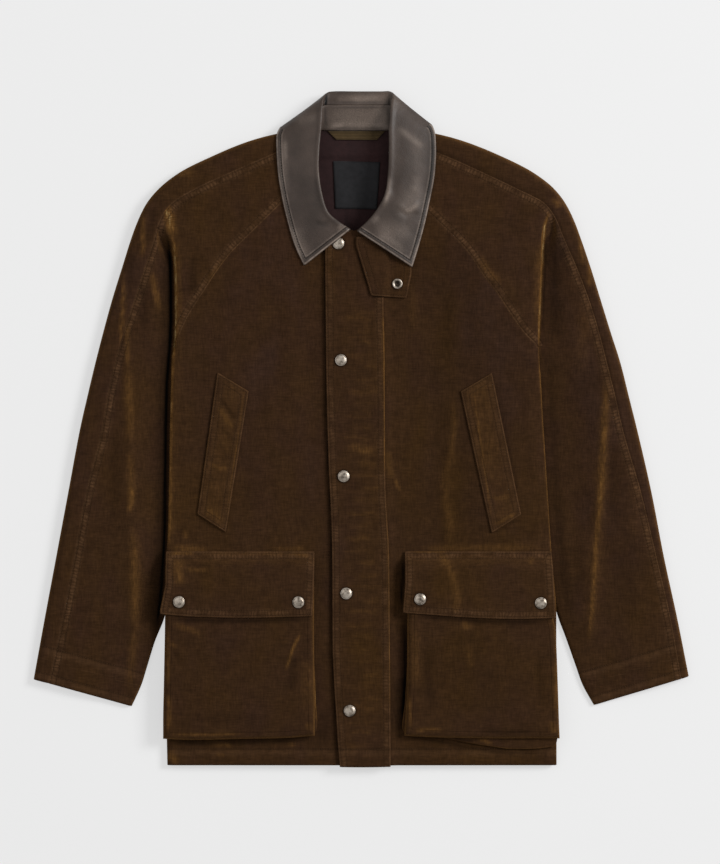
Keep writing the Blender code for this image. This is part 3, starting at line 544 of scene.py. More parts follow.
def shell(name, grid, wall, material, flip=False, keep=None, fields=None):
    """A wall with round edges, whose outer face passes through a grid of points."""
    quads = quads_of(grid, keep, flip)
    used, quads = np.unique(quads, return_inverse=True)
    quads = quads.reshape(-1, 4)
    outer = grid.reshape(-1, 3)[used]
    normals = normals_of(outer, quads)
    inner = outer - normals * wall
    edges = border_of(quads)
    rim = np.unique(edges)
    run = outer[edges[:, 1]] - outer[edges[:, 0]]
    outward = np.zeros_like(outer)
    for end in (0, 1):
        np.add.at(outward, edges[:, end], np.cross(run, normals[edges[:, end]]))
    between = (outer[rim] + inner[rim]) / 2 + unit(outward[rim]) * wall * EDGE_BULGE
    count = len(outer)
    ring = np.zeros(count, int)
    ring[rim] = np.arange(len(rim)) + 2 * count
    a, b = edges.T
    faces = np.concatenate([
        quads, quads[:, ::-1] + count,
        np.stack([b, a, ring[a], ring[b]], axis=1),
        np.stack([ring[b], ring[a], a + count, b + count], axis=1)])
    points = np.concatenate([outer, inner, between])
    points[:, 2] = np.maximum(points[:, 2], 0)
    piece = add_piece(f"{name}_sheet", points, faces.tolist(), material)
    source = np.concatenate([used, used, used[rim]])
    for field, values in (fields or {}).items():
        attribute = piece.data.attributes.new(field, "FLOAT", "POINT")
        attribute.data.foreach_set("value", values.reshape(-1)[source].astype(np.float32))
    area = np.linalg.norm(face_vectors(outer, quads), axis=1).sum()
    widths = np.nansum(np.linalg.norm(np.diff(grid, axis=1), axis=-1), axis=1)
    lengths = np.nansum(np.linalg.norm(np.diff(grid, axis=0), axis=-1), axis=0)
    cloths[name] = Cloth(piece, outer, quads, area, (widths.max(), lengths.max()))
    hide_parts(name)
    return piece


def snap_rings(grid):
    """Painted shade in a ring on the cloth round each snap cap."""
    total = np.zeros(grid.shape[:2])
    for node in SNAP_CAPS:
        low, high = cad(node)
        away = np.hypot(grid[..., 0] - (low[0] + high[0]) / 2, grid[..., 1] - (low[1] + high[1]) / 2)
        total += SNAP_RING_SHADE * np.exp(-((away - (high[0] - low[0]) / 2) / SNAP_RING_WIDTH) ** 2)
    return total


def cloth_shell(name, grid, wall, flip=False, keep=None, seams=(), hems=(), sewn=True, ribs=0.0):
    """A shell of the sueded cotton, with its creases, seams and colour, and its painted sheen and shade."""
    quads = quads_of(grid, keep, flip)
    flat = np.nan_to_num(grid).reshape(-1, 3)
    upward = normals_of(flat, quads)[:, 2].reshape(grid.shape[:2])
    lift = stroke_sum(grid, CREASES.get(name, ()))
    for size, height, seed in LUMPS:
        lift += height * unevenness(grid, size, seed)
    grid = grid.copy()
    grid[..., 2] += np.clip(upward, 0, 1) * lift
    # The first field is painted sheen from strokes, shade is painted shade with rings round the snaps, and
    # rim is painted sheen where the face tilts from straight up.
    fields = {"gold": stroke_sum(grid, PAINTED_SHEEN.get(name, ())),
              "shade": stroke_sum(grid, SHADE.get(name, ())) + snap_rings(grid),
              "tint": stroke_sum(grid, TINT.get(name, ())),
              "rim": np.clip((0.9 - upward) / 0.6, 0, 1) * (upward > -0.2),
              "ribs": np.full(grid.shape[:2], ribs)}
    fields["seam"], fields["seam_along"] = seam_fields(grid, seams)
    fields["hem"], _ = seam_fields(grid, hems)
    if not sewn:
        fields["seam"] = -np.abs(fields["seam"])
    return shell(name, grid, wall, cloth, flip, keep, fields)


# ---- looks ---------------------------------------------------------------------------------

def linear(red, green, blue):
    """A colour given as it looks on a screen, 0 to 255, in the values that a shader takes."""
    return tuple((v / 255 / 12.92 if v <= 10 else ((v / 255 + 0.055) / 1.055) ** 2.4)
                 for v in (red, green, blue))


class Look:
    """A material, with short ways to add nodes to it. Its lengths are in millimetres."""

    def __init__(self, name, **constants):
        self.material = bpy.data.materials.new(name)
        self.material.use_nodes = True
        self.tree = self.material.node_tree
        self.shader = self.tree.nodes["Principled BSDF"]
        for key, value in constants.items():
            self.shader.inputs[key.replace("_", " ")].default_value = value
        place = self.add("ShaderNodeTexCoord").outputs["Object"]
        self.place = self.scaled(place, (1 / MM,) * 3)

    def put(self, socket, value):
        if isinstance(value, bpy.types.NodeSocket):
            self.tree.links.new(value, socket)
        else:
            socket.default_value = value

    def add(self, kind, inputs=None, **settings):
        node = self.tree.nodes.new(kind)
        for key, value in settings.items():
            setattr(node, key, value)
        for key, value in (inputs or {}).items():
            self.put(node.inputs[key], value)
        return node

    def scaled(self, vector, factors):
        node = self.add("ShaderNodeVectorMath", {0: vector, 1: factors}, operation="MULTIPLY")
        return node.outputs[0]

    def math(self, operation, a, b=0.0, c=0.0, clamp=False):
        inputs = {0: a, 1: b, 2: c}
        return self.add("ShaderNodeMath", inputs, operation=operation, use_clamp=clamp).outputs[0]

    def times(self, a, b):
        return self.math("MULTIPLY", a, b)

    def noise(self, size, stretch=(1, 1, 1), detail=2.0, place=None):
        """Noise about 0.5 whose lumps have about a size, times the stretch."""
        factors = tuple(1 / (size * s) for s in stretch)
        vector = self.scaled(self.place if place is None else place, factors)
        inputs = {"Vector": vector, "Scale": 1.0, "Detail": detail}
        return self.add("ShaderNodeTexNoise", inputs).outputs["Fac"]

    def field(self, name):
        return self.add("ShaderNodeAttribute", attribute_name=name).outputs["Fac"]

    def mixed(self, factor, a, b):
        node = self.add("ShaderNodeMix", {0: factor}, data_type="RGBA", blend_type="MIX")
        for socket, value in ((node.inputs[6], a), (node.inputs[7], b)):
            self.put(socket, value if isinstance(value, bpy.types.NodeSocket) else (*value, 1.0))
        return node.outputs[2]

    def ramp(self, factor, stops):
        node = self.add("ShaderNodeValToRGB", {0: factor})
        elements = node.color_ramp.elements
        while len(elements) < len(stops):
            elements.new(0.5)
        for element, (position, colour) in zip(elements, stops):
            element.position = position
            element.color = (*colour, 1.0)
        return node.outputs[0]

    def brightness(self, colour, factor):
        node = self.add("ShaderNodeVectorMath", {0: colour, "Scale": factor}, operation="SCALE")
        return node.outputs[0]

    def around(self, factor, strength):
        """1 where a noise is 0.5, and more or less beside it."""
        return self.math("MULTIPLY_ADD", self.math("SUBTRACT", factor, 0.5), strength, 1.0)

    def band(self, distance, centre, width):
        """1 on a line at a distance, falling off smoothly over a width."""
        off = self.math("DIVIDE", self.math("SUBTRACT", distance, centre), width)
        return self.math("EXPONENT", self.math("MULTIPLY", self.math("MULTIPLY", off, off), -1.0))

    def total(self, *values):
        found = values[0]
        for value in values[1:]:
            found = self.math("ADD", found, value)
        return found

    def bump(self, height):
        """Relief of a height in millimetres."""
        inputs = {"Height": height, "Distance": MM, "Strength": 1.0}
        self.put(self.shader.inputs["Normal"], self.add("ShaderNodeBump", inputs).outputs[0])

    def finish(self, colour, roughness=None):
        self.put(self.shader.inputs["Base Color"], colour)
        if roughness is not None:
            self.put(self.shader.inputs["Roughness"], roughness)
        return self.material


BROWN = linear(52, 34, 19)
VIOLET_BROWN = linear(51, 34, 25)
PURPLE_BROWN = linear(51, 33, 20)
OLIVE_BROWN = linear(53, 34.6, 18)
OLIVE = linear(55, 36, 15)
# Colours of the painted sheen.
SHEEN_GOLDEN = linear(92, 63, 30)
SHEEN_PALE_GOLD = linear(150, 126, 84)
# Colour of the painted highlights along seams and edges.
SEAM_HIGHLIGHT = linear(82, 58, 38)
SEAM_ROWS = (1.8, 8.6)
RIB_PITCH = 4.6         # of the ribs that cross a seam's band
BAND_MIDDLE = 5.2


def cloth_look():
    """Sueded cotton: patchy brown, finely crossed by its weave, with painted highlights along its seams,
    painted sheen on its folds and edges, and painted shade.
    """
    look = Look("sueded_cotton", Roughness=0.95, Specular_IOR_Level=0.05, Sheen_Weight=0.06,
                Sheen_Roughness=0.5, Sheen_Tint=(*linear(206, 150, 90), 1.0))
    patches = look.math("MULTIPLY_ADD", look.field("tint"), 0.24, look.noise(60, (0.8, 1.4, 1), 3.0))
    colour = look.ramp(patches, [(0.1, VIOLET_BROWN), (0.38, PURPLE_BROWN), (0.5, BROWN),
                                 (0.62, OLIVE_BROWN), (0.9, OLIVE)])
    mottle = look.noise(11, (1, 1.2, 1), 4.0)
    warp = look.noise(1.9, (1, 6, 1), 2.0)
    weft = look.noise(1.9, (6, 1, 1), 2.0)
    # Breaks the painted sheen into patches.
    sheen_breakup = look.times(look.around(look.noise(4, (1, 2.5, 1), 3.0), 1.6), look.around(warp, 1.0))
    seam, hem = look.field("seam"), look.field("hem")

    wander = look.times(look.noise(11), 12.0)
    turn = look.math("MULTIPLY_ADD", look.field("seam_along"), 2 * math.pi / RIB_PITCH, wander)
    rib = look.math("MULTIPLY_ADD", look.math("SINE", turn), 0.5, 0.5)
    patchy = look.math("MULTIPLY_ADD", look.noise(16, detail=3.0), 3.4, -1.0, clamp=True)
    band = look.times(look.band(seam, BAND_MIDDLE, 4.4), look.field("ribs"))
    rib = look.math("MULTIPLY_ADD", rib, 0.55, look.times(look.noise(3), 0.7))
    ribs = look.times(look.times(band, rib), patchy)
    edge = look.times(look.band(seam, 0.4, 0.9), look.math("MULTIPLY_ADD", patchy, 0.6, 0.4))
    grooves = look.total(*[look.band(seam, row, 0.8) for row in SEAM_ROWS])
    turned = look.times(look.band(hem, -5.0, 4.5), look.math("MULTIPLY_ADD", patchy, 0.7, 0.3))

    # Painted sheen: golden from the sheen strokes and the rim, pale gold where the strokes pass 1.
    gold = look.times(look.field("gold"), sheen_breakup)
    sheen_mix = look.math("ADD", gold, look.times(look.field("rim"), 0.85), clamp=True)
    # Painted highlights on the seams' rib puckers and on seam and cut edges; lighter just below the hem
    # lines.
    light = look.total(look.times(ribs, 0.95), look.times(edge, 0.6),
                       look.times(turned, 0.3))
    colour = look.mixed(look.math("ADD", light, 0.0, clamp=True), colour, SEAM_HIGHLIGHT)
    colour = look.mixed(sheen_mix, colour, SHEEN_GOLDEN)
    colour = look.mixed(look.math("SUBTRACT", gold, 1.0, clamp=True), colour, SHEEN_PALE_GOLD)
    tone = look.times(look.around(mottle, 0.46), look.around(warp, 0.8))
    tone = look.times(tone, look.around(look.noise(26, (1, 0.35, 1), 3.0), 0.35))
    tone = look.times(tone, look.around(weft, 0.8))
    # Painted shade: the shade strokes, the stitch grooves, the hem lines and the gaps between the seam's
    # ribs.
    dark = look.total(look.field("shade"), look.times(grooves, 0.18),
                      look.times(look.band(hem, 0.0, 1.2), 0.34),
                      look.times(look.math("SUBTRACT", band, ribs), 0.16))
    dark = look.math("ADD", dark, 0.0, clamp=True)
    tone = look.times(tone, look.math("SUBTRACT", 1.0, dark))
    look.bump(look.total(
        look.times(warp, 0.14), look.times(weft, 0.14),
        look.times(mottle, 0.4), look.times(ribs, 0.5),
        look.times(grooves, -0.35)))
    return look.finish(look.brightness(colour, tone))


def leather_look():
    """Soft dark leather with a fine grain; its edges light from wear and painted highlight, with painted
    highlights on its rolls and creases.
    """
    look = Look("collar_leather", Specular_IOR_Level=0.4, Coat_Weight=0.04, Coat_Roughness=0.25)
    grain = look.noise(1.3, detail=3.0)
    clouds = look.noise(24, detail=3.0)
    cells = look.add("ShaderNodeTexVoronoi", {"Vector": look.place, "Scale": 0.8}).outputs["Distance"]
    colour = look.ramp(clouds, [(0.34, linear(55, 43, 35)), (0.66, linear(67, 54, 46))])
    edge = look.field("seam")
    stitched = look.band(edge, STITCHED_IN, 0.7)
    turned = look.band(edge, 3.3, 1.6)
    broken = look.math("MULTIPLY_ADD", look.noise(9), 3.0, -1.0, clamp=True)
    # Light on the edges, partly wear and partly painted highlight; a painted highlight along the ridge just
    # inside the stitching.
    rim = look.times(look.band(edge, 0.6, 1.0), look.math("MULTIPLY_ADD", broken, 0.5, 0.5))
    ridge_highlight = look.times(look.band(edge, STITCHED_IN + RAISED_PAST_STITCHES, 0.9),
                       look.math("MULTIPLY_ADD", broken, 0.3, 0.12))
    wear_and_highlights = look.total(rim, ridge_highlight, look.times(look.field("gold"), look.around(grain, 1.0)))
    colour = look.mixed(look.math("ADD", wear_and_highlights, 0.0, clamp=True), colour, linear(150, 134, 122))
    # Painted shade from the shade strokes and in the stitch groove; darker in a band inside the edge and on
    # the cut edge.
    dark = look.total(look.field("shade"), look.times(stitched, 0.5),
                      look.times(turned, 0.26),
                      look.times(look.band(edge, -0.6, 0.8), 0.5))
    dark = look.math("SUBTRACT", 1.0, look.math("ADD", dark, 0.0, clamp=True))
    tone = look.times(look.around(grain, 0.8), dark)
    place = look.add("ShaderNodeCombineXYZ", {0: look.field("seam_along"), 1: edge}).outputs[0]
    pucker = look.times(look.noise(3.6, (1, 2.6, 1), 1.0, place),
                       look.band(edge, STITCHED_IN, 4.0))
    look.bump(look.total(
        look.times(grain, 0.18), look.times(cells, 0.12),
        look.times(look.noise(11), 0.55),
        look.times(stitched, -0.6), look.times(pucker, 0.45)))
    rough = look.total(look.times(grain, 0.3), look.times(look.field("shade"), 0.6))
    return look.finish(look.brightness(colour, tone), look.math("ADD", rough, 0.34, clamp=True))


def ribbed_look(name, dark, light, pitch, across, relief):
    """A woven cloth with ribs a pitch apart: across is the axis that they follow each other on."""
    look = Look(name, Roughness=0.85, Specular_IOR_Level=0.15, Sheen_Weight=0.04)
    turns = 2 * math.pi / pitch
    axes = look.add("ShaderNodeSeparateXYZ", {0: look.place}).outputs
    wobble = look.times(look.noise(14), 1.5)
    shift = look.total(*[look.times(axes[k], share * turns) for k, share in enumerate(across)])
    rib = look.math("MULTIPLY_ADD", look.math("SINE", look.math("ADD", shift, wobble)), 0.5, 0.5)
    colour = look.mixed(look.times(rib, look.noise(6, detail=3.0)), dark, light)
    tone = look.times(look.around(look.noise(22, (1, 2, 1), 2.0), 0.5),
                     look.math("SUBTRACT", 1.0, look.field("shade")))
    look.bump(look.total(look.times(rib, relief),
                         look.times(look.noise(0.8), 0.1)))
    return look.finish(look.brightness(colour, tone))


def nickel_look(name, dark, plain, light):
    """Polished nickel, its colour clouded darker and lighter as painted reflections."""
    look = Look(name, Metallic=1.0)
    clouds = look.noise(5, detail=3.0)
    colour = look.ramp(clouds, [(0.34, dark), (0.5, plain), (0.7, light)])
    look.bump(look.times(look.noise(0.5, (1, 5, 1), 2.0), 0.015))
    return look.finish(colour, look.math("MULTIPLY_ADD", clouds, 0.3, 0.25))


def thread_look(name, colour, light):
    look = Look(name, Roughness=0.9, Specular_IOR_Level=0.1)
    return look.finish(look.mixed(look.noise(5), colour, light))


cloth = cloth_look()
leather = leather_look()
nickel = nickel_look("nickel", linear(112, 102, 92), linear(176, 164, 150), linear(198, 188, 176))
# A darker copy of the nickel for the socket's floor disc and springs: painted shade inside the socket.
shaded_nickel = nickel_look("tarnished_nickel", linear(24, 20, 17), linear(60, 52, 45), linear(96, 86, 76))
lining_material = ribbed_look("lining_cloth", linear(33, 20, 20), linear(61, 39, 39), 1.1, (0.8, 0.6, 0),
                              0.12)
label_material = ribbed_look("label_weave", linear(28, 28, 29), linear(54, 53, 55), 0.9, (0, 1, 0), 0.15)
tape_material = ribbed_look("loop_tape", linear(64, 50, 30), linear(104, 84, 52), 2.0, (0, 1, 0), 0.4)
cloth_thread = thread_look("cloth_thread", linear(58, 39, 23), linear(82, 58, 36))
leather_thread = thread_look("leather_thread", linear(30, 26, 23), linear(62, 56, 50))


# ---- what the cloth does, and its painted sheen and shade ----------------------------------

LUMPS = ((85, 0.6, 3.1), (34, 0.3, 8.7), (15, 0.1, 5.3))     # size, height, seed

# Paths of painted sheen along the armpit folds and the body's fold edges.
RIGHT_FOLD = [(-250, 262), (-243.5, 240), (-241.5, 215), (-240.6, 180), (-240.6, 140), (-243, 100),
              (-244, 70)]
LEFT_FOLD = [(249, 285), (243, 278), (239, 265), (237, 250), (236, 225), (235.5, 200)]
LEFT_LOWER_FOLD = [(236, 215), (234, 180), (232.5, 150), (231.5, 125), (231.5, 97)]
RIGHT_EDGE = [(-242, 160), (-242.8, 110), (-246, 60), (-247, 0), (-247.5, -60), (-248.5, -120), (-251, -165)]
LEFT_EDGE = [(231.5, 106), (235, 50), (238, 0), (241.5, -60), (245.5, -110), (248, -160)]

# Path of painted shade in the gap where the sleeve goes under the body's fold.
RIGHT_GAP = [(-255, 263), (-250, 242), (-248, 215), (-247.3, 180), (-247.3, 140), (-249, 100), (-252.5, 60),
             (-254, 0), (-254.5, -60), (-255.5, -130), (-257.5, -180), (-261, -225), (-268, -278)]

CREASES = {
    "sleeve_front_right": [
        Stroke(1.5, 7, [(-272, 215), (-268, 180), (-263, 140)]),
        Stroke(-1.0, 7, [(-284, 200), (-283, 150), (-284, 100)]),
        Stroke(1.5, 6, [(-304, 142), (-304, 110), (-302, 50), (-300, 0), (-299, -60)]),
        Stroke(1.4, 6, [(-298, -60), (-303, -112), (-295, -150), (-294, -230), (-299, -310)]),
        Stroke(-1.2, 8, [(-322, 20), (-324, -60), (-322, -140)]),
        Stroke(-0.9, 8, [(-280, 80), (-278, 0), (-279, -90)]),
        Stroke(0.8, 9, [(-345, -60), (-352, -130), (-356, -200)]),
        Stroke(-0.8, 9, [(-330, -170), (-338, -230), (-342, -290)]),
        Stroke(0.7, 6, [(-310, -292), (-330, -298), (-352, -296)]),
        Stroke(-1.0, 8, [(-218, 235), (-220, 200), (-222, 160)]),
        Stroke(0.9, 8, [(-200, 245), (-196, 205), (-204, 170)]),
    ],
    "sleeve_back_right": [
        Stroke(1.2, 5, [(-282, 285), (-284, 255), (-283, 225)]),
        Stroke(-1.0, 5, [(-270, 290), (-272, 262)]),
        Stroke(1.1, 5, [(-309, 205), (-309, 165), (-311, 120)]),
        Stroke(-0.9, 6, [(-330, 100), (-344, 30), (-354, -40)]),
        Stroke(0.8, 6, [(-372, -80), (-384, -150), (-398, -230)]),
    ],
    "sleeve_front_left": [
        Stroke(1.5, 6, [(320, 80), (317.5, 30), (315.5, -15), (313, -60), (310, -110), (306, -150)]),
        Stroke(1.3, 5, [(307, -130), (303, -195), (301, -235), (295, -290)]),
        Stroke(-1.2, 8, [(330, 0), (328, -70), (322, -140)]),
        Stroke(-1.0, 8, [(262, 236), (264, 205), (260, 160)]),
        Stroke(1.0, 9, [(288, 185), (288, 120), (284, 50)]),
        Stroke(0.9, 9, [(350, -50), (354, -110), (357, -170)]),
        Stroke(-0.8, 9, [(340, -180), (346, -230), (352, -280)]),
        Stroke(-0.7, 8, [(276, -60), (278, -140), (284, -210)]),
        Stroke(0.7, 6, [(330, -304), (352, -296), (376, -286)]),
        Stroke(0.8, 6, [(206, 212), (210, 180), (208, 145)]),
        Stroke(-0.8, 7, [(222, 150), (216, 180), (214, 215)]),
    ],
    "sleeve_back_left": [
        Stroke(1.1, 5, [(284, 250), (286, 228), (291, 205)]),
        Stroke(1.1, 5, [(300, 222), (297, 200), (296, 178)]),
        Stroke(1.0, 5, [(250, 302), (258, 288)]),
        Stroke(-0.9, 6, [(336, 70), (350, 0), (362, -60)]),
    ],
    "front_right": [
        Stroke(1.0, 9, [(-96, 190), (-92, 100), (-86, 10)]),
        Stroke(-0.8, 9, [(-70, 160), (-66, 60), (-64, -40)]),
        Stroke(0.8, 8, [(-120, 60), (-112, -20), (-104, -110)]),
        Stroke(0.8, 8, [(-224, 60), (-228, 0), (-232, -70)]),
        Stroke(-0.6, 6, [(-240, -148), (-200, -150), (-150, -146)]),
    ],
    "front_left": [
        Stroke(1.3, 7, [(119, 60), (120, 10), (114, -50), (110, -100), (114, -160)]),
        Stroke(-0.8, 9, [(134, 190), (138, 130), (134, 80)]),
        Stroke(0.9, 8, [(66, 195), (68, 150), (66, 110)]),
        Stroke(-0.8, 8, [(92, 120), (96, 20), (94, -90)]),
        Stroke(1.0, 4, [(36, -30), (41, -62), (50, -84)]),
        Stroke(0.8, 8, [(215, 60), (222, -20), (228, -90)]),
    ],
    "placket": [
        Stroke(0.5, 5, [(-16, 60), (-10, 20), (-14, -30)]),
        Stroke(-0.6, 5, [(-24, -16), (4, -20), (28, -18)]),
        Stroke(0.5, 5, [(-20, -120), (0, -150), (6, -190)]),
        Stroke(-0.5, 5, [(-18, -290), (6, -306), (24, -300)]),
        Stroke(0.5, 5, [(-24, 170), (0, 150), (20, 158)]),
    ],
    "welt_right": [
        Stroke(-0.8, 4, [(-186, 42), (-172, 20), (-158, 8)]),
        Stroke(0.7, 4, [(-190, 22), (-178, 0), (-162, -12)]),
        Stroke(-0.6, 3.5, [(-196, -30), (-180, -34), (-166, -34)]),
        Stroke(-0.6, 3.5, [(-200, -60), (-184, -66), (-170, -64)]),
    ],
    "welt_left": [
        Stroke(-0.6, 3.5, [(164, -74), (178, -78), (192, -74)]),
        Stroke(-0.6, 3.5, [(168, -96), (182, -98), (198, -94)]),
        Stroke(0.5, 4, [(146, 30), (156, 16), (172, 12)]),
    ],
    "pocket_right": [
        Stroke(1.3, 3.5, [(-76, -262), (-86, -280), (-92, -298), (-100, -318)]),
        Stroke(-1.1, 7, [(-88, -290), (-90, -320), (-94, -348)]),
        Stroke(0.9, 8, [(-68, -290), (-70, -330), (-66, -370)]),
        Stroke(0.8, 6, [(-250, -252), (-220, -262), (-200, -272)]),
        Stroke(-0.8, 5, [(-246, -284), (-238, -296), (-234, -316)]),
        Stroke(-0.7, 8, [(-230, -372), (-180, -378), (-120, -374)]),
        Stroke(0.7, 10, [(-205, -340), (-205, -360), (-206, -384)]),
    ],
    "pocket_left": [
        Stroke(0.9, 8, [(68, -250), (70, -300), (70, -345)]),
        Stroke(-0.8, 8, [(84, -265), (84, -320), (92, -380)]),
        Stroke(-0.9, 5, [(150, -388), (190, -394), (232, -390)]),
        Stroke(0.8, 8, [(112, -255), (136, -262), (142, -310)]),
        Stroke(-0.7, 7, [(232, -280), (232, -330), (236, -375)]),
        Stroke(0.8, 8, [(160, -380), (200, -376), (240, -382)]),
    ],
    "flap_right": [
        Stroke(-0.7, 5, [(-232, -174), (-205, -179), (-175, -182)]),
        Stroke(0.6, 7, [(-236, -168), (-238, -190), (-230, -208)]),
    ],
    "flap_left": [
        Stroke(1.0, 5, [(100, -164), (112, -178), (122, -205), (124, -240)]),
    ],
    "gusset_left": [
        Stroke(1.0, 3, [(150, -403), (168, -409)]),
    ],
}


def ripples():
    """Faint bars of painted highlight across the placket, unevenly apart, long and strong."""
    bars = []
    for rank, height in enumerate(range(150, -430, -8)):
        y = height + 3.4 * math.sin(3.1 * rank)
        tilt = 3 * math.sin(1.7 * rank)
        start = -14 + 16 * math.sin(4.3 * rank)
        end = 22 + 7 * math.sin(5.9 * rank)
        strength = 0.10 + 0.10 * math.sin(2.3 * rank) * math.sin(0.7 * rank + 1)
        bars.append(Stroke(strength, 2.2 + math.sin(1.1 * rank), [(start, y), ((start + end) / 2, y + tilt),
                                                                (end, y - tilt)]))
    return bars
